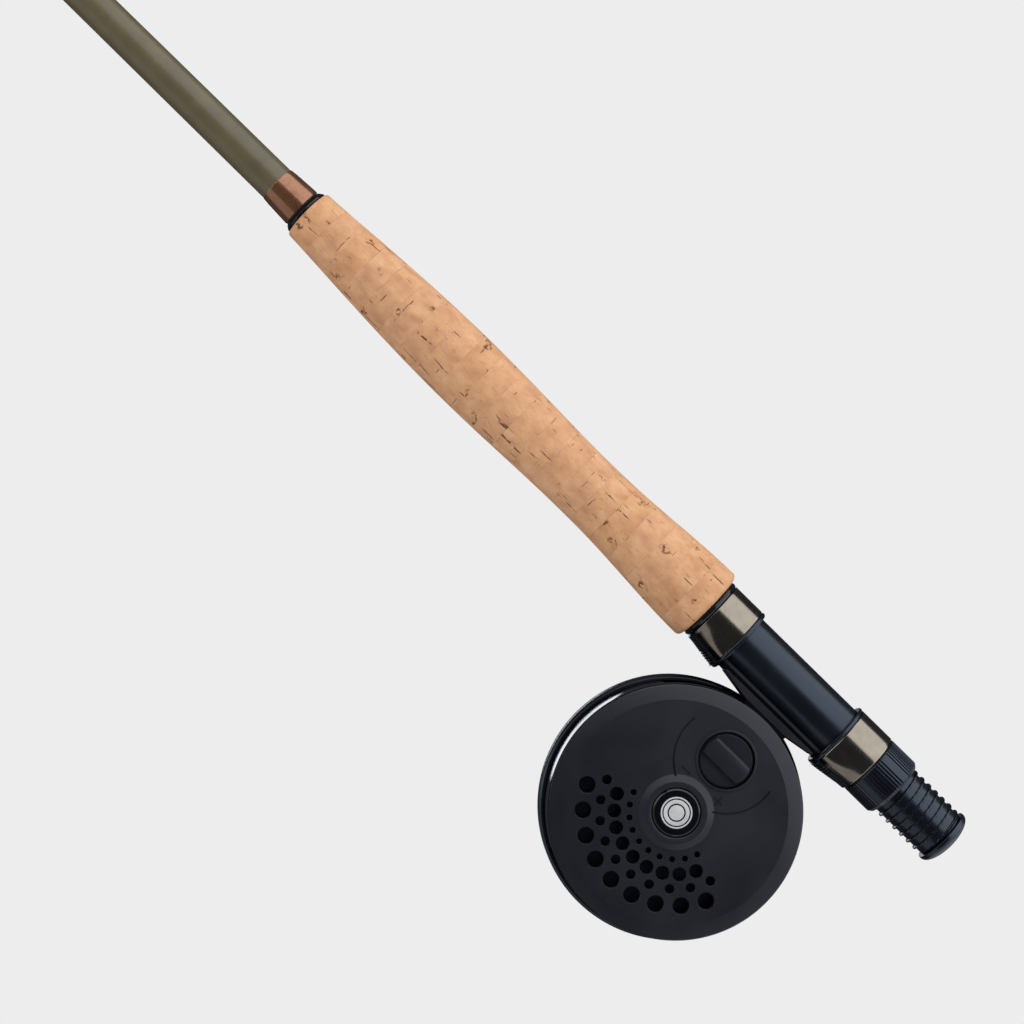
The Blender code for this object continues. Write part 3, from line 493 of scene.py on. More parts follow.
def spaced(low, high, count):
    """Evenly spaced numbers, with both ends."""
    return [low + (high - low) * i / (count - 1) for i in range(count)]


def ease(share):
    """0 to 1 along half a cosine wave."""
    return (1 - math.cos(math.pi * min(max(share, 0), 1))) / 2


# %% [markdown]
# ## From shape to piece
#
# A finished shape becomes a piece: it gets its material, smooth shading with its sharp edges kept
# and the body it rides on, and the plain solids that it stands for are hidden. Holes and slots are cut
# with Blender's exact boolean, as a drill or a milling cutter would make them.

# %% Piece helpers
SHARP = math.radians(34)


def loose(name, bm, finish):
    """bm, in millimetres, as an object."""
    bmesh.ops.recalc_face_normals(bm, faces=bm.faces)
    bmesh.ops.scale(bm, vec=(MM, MM, MM), verts=bm.verts)
    mesh = bpy.data.meshes.new(name)
    bm.to_mesh(mesh)
    bm.free()
    mesh.materials.append(finish)
    made = bpy.data.objects.new(name, mesh)
    bpy.context.scene.collection.objects.link(made)
    return made


def work(target, shapes, operation="DIFFERENCE"):
    """Cuts all the shapes from target at once, or joins them on."""
    tool = loose("tool", shapes[0], target.data.materials[0])
    gathered = bmesh.new()
    gathered.from_mesh(tool.data)
    for bm in shapes[1:]:
        other = loose("other", bm, target.data.materials[0])
        gathered.from_mesh(other.data)
        bpy.data.objects.remove(other)
    gathered.to_mesh(tool.data)
    gathered.free()
    modifier = target.modifiers.new("work", "BOOLEAN")
    modifier.operation = operation
    modifier.object = tool
    modifier.solver = "EXACT"
    modifier.use_self = operation == "UNION"
    bpy.context.view_layer.update()
    graph = bpy.context.evaluated_depsgraph_get()
    shaped = bpy.data.meshes.new_from_object(target.evaluated_get(graph))
    target.modifiers.clear()
    target.data = shaped
    bpy.data.objects.remove(tool)


def settle(made, body, *nodes):
    """Shades a finished piece, sets it on its body, and lets it stand for those nodes."""
    made.data.shade_smooth()
    made.data.set_sharp_from_angle(angle=SHARP)
    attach(made, body)
    if nodes:
        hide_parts(*nodes)
    return made


def piece(name, bm, finish, body, *nodes):
    return settle(loose(name, bm, finish), body, *nodes)


# %% [markdown]
# ## Blank sections
#
# Four equal sections make the rod. Each of the upper three has a socket at its lower end that slips
# over the section below, so it starts thicker and then narrows to the blank's own taper. A thread
# band keeps the mouth of the socket from splitting.

# %% Make the blank
GRIP_FRONT = 288.4
RADIUS_AT_GRIP = 5.9
TAPER = 0.0023
WALL = 1.1
SOCKET_WALL = 0.7
SLIP = 0.25
SOCKET_DEPTH = 60.0
SECTIONS = ("butt_section", "lower_middle_section", "upper_middle_section", "tip_section")
SECTION_BODIES = ("butt", "lower_middle", "upper_middle", "tip")


def blank_radius(height):
    return RADIUS_AT_GRIP - TAPER * (height - GRIP_FRONT)


for index, (node, body) in enumerate(zip(SECTIONS, SECTION_BODIES)):
    low, high = mm_box(node)
    bottom, top = low.z, high.z
    if index == 0:
        outline = [(blank_radius(z), z) for z in (bottom, GRIP_FRONT, top)]
        outline += [(blank_radius(z) - WALL, z) for z in (top, bottom)]
    else:
        socket = blank_radius(bottom) + SLIP
        swell = bottom + SOCKET_DEPTH
        outline = [(socket, bottom), (socket + SOCKET_WALL, bottom)]
        for step in range(9):
            settled = swell + 20 * step / 8
            share = ease(step / 8)
            outline.append(((socket + SOCKET_WALL) * (1 - share) + blank_radius(settled) * share, settled))
        outline.append((blank_radius(top), top))
        if node == "tip_section":
            outline += [(0, top), (0, swell)]
        else:
            outline += [(blank_radius(top) - WALL, top), (blank_radius(swell + 20) - WALL, swell + 20)]
        outline.append((socket, swell))
        band_low, band_high = mm_box(f"ferrule_wrap_{index}")
        inside = socket + SOCKET_WALL + 0.1
        hump = [(inside, band_low.z), (inside + 0.25, band_low.z + 0.3), (inside + 0.42, band_low.z + 1.4),
                (inside + 0.42, band_high.z - 1.4), (inside + 0.25, band_high.z - 0.3), (inside, band_high.z)]
        shape = lathe(soften(hump, 0.4), 64)
        piece(f"ferrule_band_{index}", shape, varnished_thread, body, f"ferrule_wrap_{index}")
    piece(f"{body}_blank", lathe(soften(outline, 0.15), 64), blank, body, node)
    print(f"{body}: {bottom:.0f} to {top:.0f} mm")

# %% [markdown]
# ## Cork grip
#
# The grip's shape is a half-wells: thin at the front, a swell under the palm, a waist, and full at
# the rear. The sander rounds the rear corner, and cuts a hair deeper into the glue at every seam, so
# the seams are turned as real grooves a few hundredths of a millimetre deep.

# %% Make the grip
WAIST_Z = 156.2
SWELL_Z = 206.7
BORE = 6.9
SEAM_DEPTH = 0.025
ROUNDED = 1.6            # the radius of the rear corner


def cork_radius(z):
    if z > SWELL_Z:
        rise = math.sin(math.pi / 2 * (cork_high.z - z) / (cork_high.z - SWELL_Z))
        return 8.53 + 3.02 * max(rise, 0) ** 1.15
    if z > WAIST_Z:
        return 11.55 - 1.05 * ease((SWELL_Z - z) / (SWELL_Z - WAIST_Z))
    return 10.5 + 2.2 * ease(max((WAIST_Z - z) / (WAIST_Z - 105.5), 0) ** 1.12)


rear = cork_radius(cork_low.z)
front = cork_radius(cork_high.z)
outline = [(BORE, cork_low.z), (rear - ROUNDED, cork_low.z)]
for turn in spaced(0.2, 1.57, 7):
    reach = ROUNDED * (1 - math.sin(turn))
    outline.append((rear - reach, cork_low.z + ROUNDED * (1 - math.cos(turn))))
for ring in range(CORK_RINGS):
    start = cork_low.z + ring * RING_MM
    for share in (0.0, 0.03, 0.2, 0.4, 0.6, 0.8, 0.97):
        z = start + share * RING_MM
        if cork_low.z + 1.7 < z < cork_high.z - 0.7:
            outline.append((cork_radius(z) - (0 if share else SEAM_DEPTH), z))
outline += [(front, cork_high.z - 0.6), (front - 0.2, cork_high.z - 0.15)]
outline += [(front - 0.6, cork_high.z), (BORE, cork_high.z)]
piece("cork_rings", lathe(outline, 144), cork, "butt", "cork_grip")

# %% [markdown]
# ## Checks and the front wrap
#
# A black ring closes each end of the cork. In front of the winding check the step down to the blank
# is bound with thread and flooded with varnish, which creeps out in a smooth cone and ends in a thin
# lip on the blank.

# %% Make the checks and the wrap
check_low, check_high = mm_box("rear_check")
outline = [(BORE, check_low.z), (10.35, check_low.z), (10.62, check_low.z + 0.8)]
outline += [(10.35, check_high.z), (BORE, check_high.z)]
piece("rear_ring", lathe(soften(outline, 0.3), 96), black_anodised, "butt", "rear_check")
check_low, check_high = mm_box("winding_check")
outline = [(6.15, check_low.z), (7.75, check_low.z), (7.7, check_low.z + 0.6)]
outline += [(6.9, check_high.z), (6.15, check_high.z)]
piece("front_ring", lathe(soften(outline, 0.3), 96), black_anodised, "butt", "winding_check")
wrap_low, wrap_high = mm_box("grip_wrap")
outline = [(6.03, wrap_low.z), (6.55, wrap_low.z), (6.72, wrap_low.z + 0.7), (6.66, wrap_low.z + 2.5)]
outline += [(6.5, wrap_low.z + 5.5), (6.34, wrap_low.z + 8.5), (6.12, wrap_high.z - 0.2), (6.03, wrap_high.z)]
piece("front_wrap", lathe(soften(outline, 0.9, 6), 96), varnished_thread, "butt", "grip_wrap")

# %% [markdown]
# ## Seat barrel and locking nut
#
# The barrel is one moulding: a plain tube for the reel foot, then a coarse thread with narrow round
# ridges and wide flat valleys. The tube is turned with enough rows for the thread, and each point is
# pushed out by how near it lies to the ridge's helix. The nut has knurling in six groups.

# %% Make the barrel and the nut
PITCH = 2.88
THREAD_END = 38.0
ROOT = 8.1
CREST = 8.85
ROWS_PER_TURN = 24


def ridge(turn, radius, z):
    """How far the thread's ridge stands out of its valley there."""
    if radius < ROOT - 0.5 or z > THREAD_END:
        return 0
    from_ridge = abs((z / PITCH - turn / (2 * math.pi)) % 1 - 0.5)
    fade = min(1.0, max(0.0, (z - barrel_low.z) / 1.5), max(0.0, (THREAD_END - z) / 1.5))
    return (CREST - ROOT) * ease(1 - (from_ridge - 0.07) / 0.1) * fade


rows = int((THREAD_END - barrel_low.z) / PITCH * ROWS_PER_TURN)
outline = [(BORE, barrel_low.z)] + [(ROOT, z) for z in spaced(barrel_low.z, THREAD_END, rows)]
outline += [(8.6, THREAD_END + 0.3), (9.0, THREAD_END + 0.7), (9.0, barrel_high.z), (BORE, barrel_high.z)]
piece("threaded_barrel", push(lathe(outline, 144), ridge), satin_plastic, "butt", "seat_barrel")

nut_low, nut_high = mm_box("locking_nut")
NUT_STEPS = 240
GROUP_STEPS = 40         # of which the last few are left plain
GROOVED_STEPS = 31
GROOVE_STEPS = 4.0
GROOVE_DEPTH = 0.42


def knurl(turn, radius, z):
    """Eight grooves in each group, then a plain land."""
    if radius < 9.9 or not nut_low.z + 0.9 < z < nut_high.z - 0.5:
        return 0
    step = (turn / (2 * math.pi) * NUT_STEPS) % GROUP_STEPS
    if step > GROOVED_STEPS:
        return 0
    return -GROOVE_DEPTH * ease(1 - abs(step % GROOVE_STEPS - GROOVE_STEPS / 2) / 1.3)


outline = [(9.2, nut_low.z), (9.6, nut_low.z), (10.3, nut_low.z + 0.95)]
outline += [(10.3, z) for z in spaced(nut_low.z + 1.0, nut_high.z - 0.55, 6)]
outline += [(10.3, nut_high.z - 0.45), (9.9, nut_high.z), (9.2, nut_high.z)]
piece("knurled_nut", push(lathe(outline, NUT_STEPS), knurl), satin_plastic, "locking_nut", "locking_nut")

cap_low, cap_high = mm_box("butt_cap")
dome = [(9.3 * math.sin(t), 3.4 - 3.4 * math.cos(t)) for t in spaced(0.33, 1.5, 12)]
outline = [(0, 0)] + dome + [(9.3, 3.6), (9.3, 4.2), (6.5, 4.2), (6.5, cap_high.z), (0, cap_high.z)]
piece("domed_cap", lathe(soften(outline, 0.25), 96), satin_plastic, "butt", "butt_cap")

# %% [markdown]
# ## Hoods
#
# A hood is a plastic sleeve with a lip at its mouth and a polished metal ring round the rest. On the
# reel's side it bulges, to leave a pocket for the end of the reel foot. There the ring is open, and
# the plastic comes through it as a ridge with a few notches. The sleeve is turned round and then
# pushed out, most at the mouth.

# %% Make the hoods
BULGE = 1.6
FLANK_START = math.radians(38)
FLANK_SPAN = math.radians(30)
RIDGE_HALF = math.radians(27)
RIDGE_HEIGHT = 1.05
NOTCH = 0.3


def pocket(lip, length, ridged):
    """The push that makes a pocket on the reel's side, highest at the lip, and the ridge over it."""
    def how_far(turn, radius, z):
        away = min(turn, 2 * math.pi - turn)
        back = abs(z - lip)
        aside = ease((away - FLANK_START) / FLANK_SPAN)
        rise = BULGE * ease(1 - 0.92 * back / length) * (1 - aside)
        if ridged and radius > 9.65 and 1.3 < back < length - 0.2:
            notched = NOTCH * ease(1 - abs((back - 2.0) % 0.95 - 0.5) / 0.3) if 2.0 < back < 6.7 else 0
            rise += (RIDGE_HEIGHT - notched) * (1 - ease((away - RIDGE_HALF) / math.radians(3)))
        return rise
    return how_far


def open_ring(bm, half):
    """Takes away the part of a ring within half of -X, and closes its two ends."""
    near = [vert for vert in bm.verts if math.atan2(abs(vert.co.y), -vert.co.x) < half]
    bmesh.ops.delete(bm, geom=near, context="VERTS")
    bmesh.ops.holes_fill(bm, edges=[edge for edge in bm.edges if edge.is_boundary], sides=0)
    return bm


for prefix, body in (("sliding", "sliding_hood"), ("fixed", "butt")):
    low, high = mm_box(f"{prefix}_hood")
    lip, end = (high.z, low.z) if prefix == "sliding" else (low.z, high.z)
    way = 1 if end > lip else -1
    length = abs(end - lip)
    profile = [(9.2, 0), (10.15, 0), (10.45, 0.25), (10.55, 0.6), (10.48, 1.0), (10.2, 1.3), (9.7, 1.4)]
    profile += [(9.7, back) for back in spaced(1.5, 7.0, 40)[1:]]
    profile += [(9.7, length * 0.8), (9.7, length - 0.25), (9.6, length), (9.2, length)]
    profile += [(9.2, back) for back in spaced(length - 1, 1, 8)]
    outline = [(radius, lip + way * back) for radius, back in profile]
    shape = push(lathe(outline, 180), pocket(lip, length, True))
    piece(f"{prefix}_hood_body", shape, satin_plastic, body, f"{prefix}_hood")
    profile = [(9.98, 1.5), (10.32, 1.5), (10.42, 1.62)]
    profile += [(10.42, back) for back in spaced(3, length - 1.2, 7)]
    profile += [(10.42, length - 0.22), (10.32, length - 0.05), (9.98, length - 0.05)]
    profile += [(9.98, back) for back in spaced(length - 1, 2.6, 7)]
    outline = [(radius, lip + way * back) for radius, back in profile]
    shape = open_ring(push(lathe(outline, 180), pocket(lip, length, False)), RIDGE_HALF + math.radians(4))
    piece(f"{prefix}_hood_sleeve", shape, anodised_grey, body, f"{prefix}_hood_ring")

# %% [markdown]
# ## Reel foot
#
# The foot is a saddle with two thin ends that slip under the hoods, and a thick middle that carries
# the reel. Its edges are broken by a small bevel, as the mould leaves them.

# %% Make the foot
foot_low, foot_high = mm_box("reel_foot")
half = math.radians(35)
rings = []
for z, outer in ((foot_low.z, 9.7), (48.6, 10.5), (88.8, 10.5), (foot_high.z, 9.7)):
    arc = [(outer, a) for a in spaced(-half, half, 17)] + [(9.28, a) for a in spaced(half, -half, 17)]
    rings.append([(-radius * math.cos(a), radius * math.sin(a), z) for radius, a in arc])
foot = loose("foot_saddle", prism(rings), grained_plastic)
profile = [(-9.8, 50.4), (-10.6, 50.4), (-12.3, 60.6), (-12.3, 76.8), (-10.6, 87.0), (-9.8, 87.0)]
profile = soften(profile, 1.2)
flank = [(-5.4, 0.25), (-5.15, 0.0), (3.35, 0.0), (3.6, 0.25)]
work(foot, [prism([[(min(x + inset, -9.7), y, z) for x, z in profile] for y, inset in flank])], "UNION")
settle(foot, "butt", "reel_foot")

# %% [markdown]
# ## Reel frame
#
# The frame is one moulding: a face plate with a hub, and a wall round it that the spool turns in. It
# is turned first, with its wall drawn in a little towards the face so that it leaves its mould. Then
# the drain holes, the windows where the line leaves, the knob's well and the two engraved scales are
# cut. The plate's edge slopes back a little, which is what gives it the light ring towards the rod.

# %% Make the frame
FACE = -13.0
HOLE_PITCH = math.radians(15.75)
HOLE_ROWS = ((28.0, 5.05, 9), (23.0, 2.9, 10), (18.6, 4.2, 9), (14.1, 1.8, 10))
SCALE_RADIUS = 16.0
MARK_RADIUS = 12.6
WALL_OUT = 38.0          # the polished wall lies outside this radius
WALL_FRONT = -12.2       # and behind this height

outline = [(0, -13.1), (7.5, -13.1), (7.5, -14.15), (9.3, -14.2), (11.4, FACE), (33.8, FACE)]
outline += [(38.3, -11.9), (38.6, -11.1), (39.0, -4.0), (39.0, 3.4), (38.2, 3.8), (38.2, 9.0)]
outline += [(36.2, 9.0), (36.2, -10.5), (6.4, -10.5), (6.4, -7.6), (3.2, -7.6), (3.2, -11.6), (0, -11.6)]
reel_frame = loose("frame_plate", lathe(soften(outline, 0.45), 192, "Y", REEL), grained_plastic)


def arm(radius, turn):
    """A point of the reel's face, radius out from the knob's middle, turned from the reel's middle."""
    return KNOB_X - REEL_X - radius * math.cos(turn), radius * math.sin(turn)


def hole(across, up, radius, sides=28):
    """A drill through the plate, with a small flare at the face."""
    rings = []
    for y, grown in ((-16.0, 0.18), (FACE - 0.01, 0.18), (FACE + 0.2, 0.0), (-9.0, 0.0)):
        size = radius + grown
        turns = [2 * math.pi * i / sides for i in range(sides)]
        rings.append([(across + size * math.cos(t), y, up + size * math.sin(t)) for t in turns])
    return prism(rings, REEL)


def groove(spots, width, depth):
    """A cutter that follows spots over the face."""
    near, far = [], []
    for i, spot in enumerate(spots):
        ahead = (Vector(spots[min(i + 1, len(spots) - 1)]) - Vector(spots[max(i - 1, 0)])).normalized()
        side = Vector((-ahead.y, ahead.x)) * width / 2
        near.append(Vector(spot) + side)
        far.append(Vector(spot) - side)
    ring = near + far[::-1]
    return prism([[(p.x, y, p.y) for p in ring] for y in (FACE - 1.0, FACE + depth)], REEL)


def window(middle, half_span):
    """A cutter through the wall: half_span to each side of middle, in degrees from the rod's side."""
    arc = [math.radians(middle + a) for a in spaced(-half_span, half_span, 17)]
    ring = [(34.0, a) for a in arc] + [(41.0, a) for a in reversed(arc)]
    return prism([[(r * math.cos(a), y, r * math.sin(a)) for r, a in ring] for y in (-8.0, 6.2)], REEL)


pad = [(-15.0, -7.4), (-12.6, -8.3), (-12.6, 8.3), (-15.0, 7.4)]
work(reel_frame, [prism([[(x, y, REEL_Z + z) for x, z in pad] for y in (-10.9, 3.6)])], "UNION")
collar = [(8.0, -12.4), (9.3, -12.4), (9.3, -13.45), (8.0, -13.5)]
work(reel_frame, [lathe(soften(collar, 0.15), 96, "Y", KNOB)], "UNION")
cuts = [lathe([(0, -20), (8.6, -20), (8.6, -9), (0, -9)], 96, "Y", KNOB)]
cuts += [window(middle, span) for middle, span in ((32, 17), (-32, 17), (180, 29))]
for distance, diameter, count in HOLE_ROWS:
    for i in range(count):
        turn = math.pi + (i - (count - 1) / 2) * HOLE_PITCH
        cuts.append(hole(distance * math.cos(turn), distance * math.sin(turn), diameter / 2))
for side in (-1, 1):
    cuts.append(groove([arm(SCALE_RADIUS, side * t) for t in spaced(0.5, 1.72, 25)], 0.6, 0.5))
    turn = side * math.radians(32)
    across, up = arm(MARK_RADIUS, turn)
    if side > 0:
        strokes = [[(across, up - 1.6), (across, up + 1.6)]]
    else:
        strokes = [[(across - 1.6, up), (across + 1.6, up)]]
        strokes += [[(across, up - 1.6), (across, up - 0.3)], [(across, up + 0.3), (across, up + 1.6)]]
    cuts += [groove(stroke, 0.55, 0.3) for stroke in strokes]
for screw_place in (-5.0, 5.0):
    outline = [(0, 15.9), (2.75, 15.9), (2.75, 15.3), (1.5, 14.0), (1.5, 11.9), (0, 11.9)]
    bored = lathe([(r, -h) for r, h in outline], 32)     # turned on Z, then laid along X
    for vert in bored.verts:
        vert.co = Vector((vert.co.z, vert.co.y, REEL_Z + screw_place - vert.co.x))
    cuts.append(bored)
work(reel_frame, cuts)
pegs = []
for z in (-8.4, 8.4):
    spot = (REEL_X + 15.0, 0, REEL_Z + z)
    pegs.append(lathe([(0, -10.8), (1, -10.8), (1, -7.6), (0, -7.6)], 24, "Y", spot))
work(reel_frame, pegs, "UNION")
reel_frame.data.materials.append(polished_plastic)
for face in reel_frame.data.polygons:
    spot = face.center / MM
    out = math.hypot(spot.x - REEL_X, spot.z - REEL_Z)
    if out > WALL_OUT and spot.y > WALL_FRONT:
        face.material_index = 1
settle(reel_frame, "butt", "reel_frame")
print("frame:", len(reel_frame.data.polygons), "faces")

# %% [markdown]
# ## Badge and drag knob
#
# The hub carries a small round badge. Here it is plain: a pale disc in two pale rings on black. The
# drag knob is a disc with a bar across it for finger and thumb. The bar's sides are drafted so that
# the knob leaves its mould.

# %% Make the badge and the knob
outline = [(0, -13.4), (7.2, -13.4), (7.2, -13.9), (6.7, -14.25), (4.9, -14.3), (4.9, -14.1), (0, -14.1)]
badge = loose("badge", lathe(soften(outline, 0.12), 96, "Y", REEL), polished_plastic)
settle(badge, "butt", "centre_cap")
for name, inner, outer in (("badge_disc", 0, 2.3), ("badge_ring", 2.75, 3.9), ("badge_border", 4.3, 4.75)):
    outline = [(inner, -14.05), (outer, -14.05), (outer, -14.35), (inner, -14.35)]
    piece(name, lathe(soften(outline, 0.06), 96, "Y", REEL), badge_metal, "butt")

outline = [(0, -12.6), (7.7, -12.6), (8.3, -12.2), (8.3, -10.25), (9.3, -10.25), (9.3, -9.5), (2.4, -9.5)]
outline += [(2.4, -7.2), (0, -7.2)]
knob = loose("finger_knob", lathe(soften(outline, 0.3), 96, "Y", KNOB), knob_plastic)
rings = []
BAR = ((3.4, 7.75, -12.3), (3.35, 7.7, -12.9), (3.1, 7.5, -14.3), (2.9, 7.35, -14.6), (2.5, 7.0, -14.72))
BAR_END = 0.45           # half the turn that the bar's round end takes
for half_width, half_length, y in BAR:
    corners = []
    for side in (-1, 1):
        for turn in spaced(-BAR_END, BAR_END, 7):
            corners.append((side * -half_width * turn / BAR_END, y, side * half_length * math.cos(turn)))
    rings.append(corners)
work(knob, [prism(rings, KNOB)], "UNION")
settle(knob, "drag_knob", "drag_knob")

# %% [markdown]
# ## Spool
#
# The spool is the other moulding: two flanges on an arbor, and a rim that laps over the frame's wall
# so that a palm can slow it. Fine grooves run round the rim. Behind, the flange is pierced with a
# ring of holes that let the line dry.

# %% Make the spool
outline = [(4.9, -5.4), (6.9, -5.4), (6.9, 8.0), (12.2, 8.0), (12.2, -5.4), (35.6, -5.4), (35.6, -4.2)]
outline += [(14.0, -4.2), (14.0, 9.6), (38.8, 9.6), (38.8, 4.4), (39.9, 4.4), (40.7, 5.2)]
for y in (6.6, 8.2, 9.8, 11.4):
    outline += [(40.7, y - 0.22), (40.52, y), (40.7, y + 0.22)]
outline += [(40.7, 12.9), (39.7, 14.0), (38.4, 14.0), (37.2, 11.6), (12.0, 11.6), (11.0, 13.1), (4.9, 13.1)]
spool = loose("line_spool", lathe(soften(outline, 0.35, 3), 192, "Y", REEL), satin_plastic)
cuts = []
for i in range(12):
    turn = 2 * math.pi * (i + 0.5) / 12
    spot = (REEL_X + 22.5 * math.cos(turn), 0, REEL_Z + 22.5 * math.sin(turn))
    drill = [(0, 8.5), (3.8, 8.5), (3.8, 11.4), (4.1, 11.61), (4.1, 13.5), (0, 13.5)]
    cuts.append(lathe(drill, 32, "Y", spot))
POST = middle_of("handle_post")
cuts.append(lathe([(0, 9), (1.9, 9), (1.9, 13), (0, 13)], 32, "Y", POST))
work(spool, cuts)
settle(spool, "spool", "spool")

# %% [markdown]
# ## Handle, counterweight and latch cover
#
# On the side away from the plate the spool carries its handle: a waisted knob that spins on a steel
# post. A steel disc opposite balances it. A round cover over the hub holds the latch that keeps the
# spool on its spindle.

# %% Make the handle side
outline = [(0, 9.9), (1.55, 9.9), (1.55, 11.95), (3.4, 11.95), (3.4, 13.2), (1.55, 13.2), (1.55, 33.0)]
outline += [(2.6, 33.0), (2.6, 33.9), (2.0, 34.4), (0, 34.4)]
piece("steel_post", lathe(soften(outline, 0.2), 48, "Y", POST), stainless, "spool", "handle_post")
outline = [(1.85, 13.6), (4.6, 13.6), (5.0, 14.4), (4.6, 16.0), (4.3, 18.0), (4.25, 20.5), (4.5, 23.0)]
outline += [(5.0, 26.5), (5.7, 30.0), (6.0, 32.4), (5.8, 33.8), (5.2, 34.6), (3.1, 34.6), (3.1, 32.6)]
outline += [(1.85, 32.6)]
piece("waisted_knob", lathe(soften(outline, 1.2), 72, "Y", POST), satin_plastic, "handle", "handle_knob")
outline = [(0, 11.95), (4.6, 11.95), (4.6, 13.5), (4.0, 14.1), (1.4, 14.1), (1.1, 13.8), (0, 13.8)]
across_from = (POST[0], 0, 2 * REEL_Z - POST[2])
piece("balance_disc", lathe(soften(outline, 0.25), 64, "Y", across_from), stainless, "spool", "counterweight")
outline = [(0, 16.6), (0, 17.9), (9.5, 17.9), (10.8, 16.9), (10.8, 13.45), (9.8, 13.45), (9.8, 16.6)]
cover = loose("hub_cover", lathe(soften(outline, 0.3), 96, "Y", REEL), grained_plastic)
work(cover, [block((6.6, 13.0, -2.95), (12.0, 19.0, 2.95), REEL)])
for side in (-1, 1):
    spot = (REEL_X, 0, REEL_Z + side * 7.2)
    work(cover, [lathe([(0, 13.45), (1.9, 13.45), (1.9, 17.0), (0, 17.0)], 32, "Y", spot)], "UNION")
    work(cover, [lathe([(0, 12), (1.2, 12), (1.2, 17.2), (2.0, 17.2), (2.0, 19), (0, 19)], 32, "Y", spot)])
    number = 1 if side < 0 else 2
    outline = [(0, 13.5), (0.9, 13.5), (0.9, 17.4), (1.75, 17.45), (1.75, 18.0), (1.3, 18.3), (0, 18.35)]
    screw = loose(f"slotted_screw_{number}", lathe(soften(outline, 0.15), 48, "Y", spot), stainless)
    work(screw, [block((-2.0, 18.0, -0.22), (2.0, 19.0, 0.22), spot)])
    settle(screw, "spool", f"cover_screw_{number}")
settle(cover, "spool", "latch_cover")

# %% [markdown]
# ## Stripping guide
#
# The first guide off the reel is a hard ring in a wire frame. The line rubs through it, so the ring
# is a glazed ceramic, pressed into a steel band. Two legs run down from the band to feet that are
# bound to the blank. The binding stands up over each foot.

# %% Make the stripping guide
RING = middle_of("stripping_guide_ring")
RING_X, RING_Z = RING[0], RING[2]
surface = blank_radius(RING_Z)
outline = [(6.1, -1.1), (7.1, -0.9), (7.1, 0.9), (6.1, 1.1)]
band = loose("guide_band", lathe(soften(outline, 0.25), 64, "Z", RING), stainless)
for side in (-1, 1):
    path = []
    for share in spaced(-1, 1, 33):
        rise = max(math.cos(share * math.pi / 2), 0) ** 0.8
        x = -surface - 0.62 + (RING_X + 4.2 + surface + 0.62) * rise
        y = side * (0.45 + 4.75 * rise)
        path.append((x, y, RING_Z + share * 12.0, 0.4 + 0.3 * min(1, 6 * rise)))
    work(band, [sweep(path, 16)], "UNION")
for way in (-1, 1):
    near, far = sorted((RING_Z + way * 10.4, RING_Z + way * 21.0))
    work(band, [block((-surface - 0.85, -1.1, near), (-surface - 0.2, 1.1, far))], "UNION")
settle(band, "lower_middle", "stripping_guide_frame")
outline = [(5.0, -0.5), (5.15, -1.0), (5.5, -1.3), (5.95, -1.3)]
outline += [(radius, -height) for radius, height in reversed(outline)]
shape = lathe(soften(outline, 0.5), 64, "Z", RING)
piece("guide_ring", shape, glazed_ceramic, "lower_middle", "stripping_guide_ring")


def binding(name, body, low, high, radius, over_foot, *nodes):
    """A thread binding from low to high, standing up by over_foot on the reel's side."""
    outline = [(radius + 0.04, low), (radius + 0.3, low + 0.3), (radius + 0.4, low + 1.0)]
    outline += [(radius + 0.4, high - 1.0), (radius + 0.3, high - 0.3), (radius + 0.04, high)]

    def hump(turn, radius, z):
        away = min(turn, 2 * math.pi - turn)
        return over_foot * (1 - ease((away - 0.25) / 0.4))

    return piece(name, push(lathe(soften(outline, 0.4), 72), hump), varnished_thread, body, *nodes)


for way, name in ((-1, "lower"), (1, "upper")):
    near, far = sorted((RING_Z + way * 13.5, RING_Z + way * 23.0))
    node = f"stripping_guide_wrap_{name}"
    binding(f"stripper_binding_{name}", "lower_middle", near, far, surface + 0.1, 0.9, node)

# %% [markdown]
# ## Snake guides and tip top
#
# A snake guide is one piece of wire: from a flattened foot it climbs, crosses over the line in half a
# turn and comes down to the other foot. They get smaller towards the tip. The last guide is a loop on
# a short tube that slips over the end of the rod.

# %% Make the snake guides
GUIDE_BODIES = ("lower_middle", "upper_middle", "upper_middle", "tip", "tip", "tip", "tip")
LARGE = (3.1, 5.6, 0.5)
SMALL = (1.9, 3.5, 0.38)

for number, body in enumerate(GUIDE_BODIES, 1):
    low, high = mm_box(f"snake_guide_{number}")
    height = (low.z + high.z) / 2
    share = (number - 1) / (len(GUIDE_BODIES) - 1)
    half_width, rise, thick = (a + (b - a) * share for a, b in zip(LARGE, SMALL))
    base = blank_radius(height) + 0.15 + thick
    half_length = 1.2 * rise
    path = [(-base + 0.6 * thick, 0, height - half_length - 9, 0.35 * thick)]
    for step in spaced(-1, 1, 41):
        out = base + (rise - thick) * math.cos(step * math.pi / 2)
        path.append((-out, half_width * math.sin(step * math.pi), height + step * half_length, thick))
    path.append((-base + 0.6 * thick, 0, height + half_length + 9, 0.35 * thick))
    piece(f"wire_guide_{number}", sweep(path), stainless, body, f"snake_guide_{number}")
    for way, end in ((-1, "lower"), (1, "upper")):
        near, far = sorted(height + way * (half_length + reach) for reach in (2.0, 10.2))
        binding(f"guide_binding_{number}_{end}", body, near, far, blank_radius(height), 1.5 * thick)

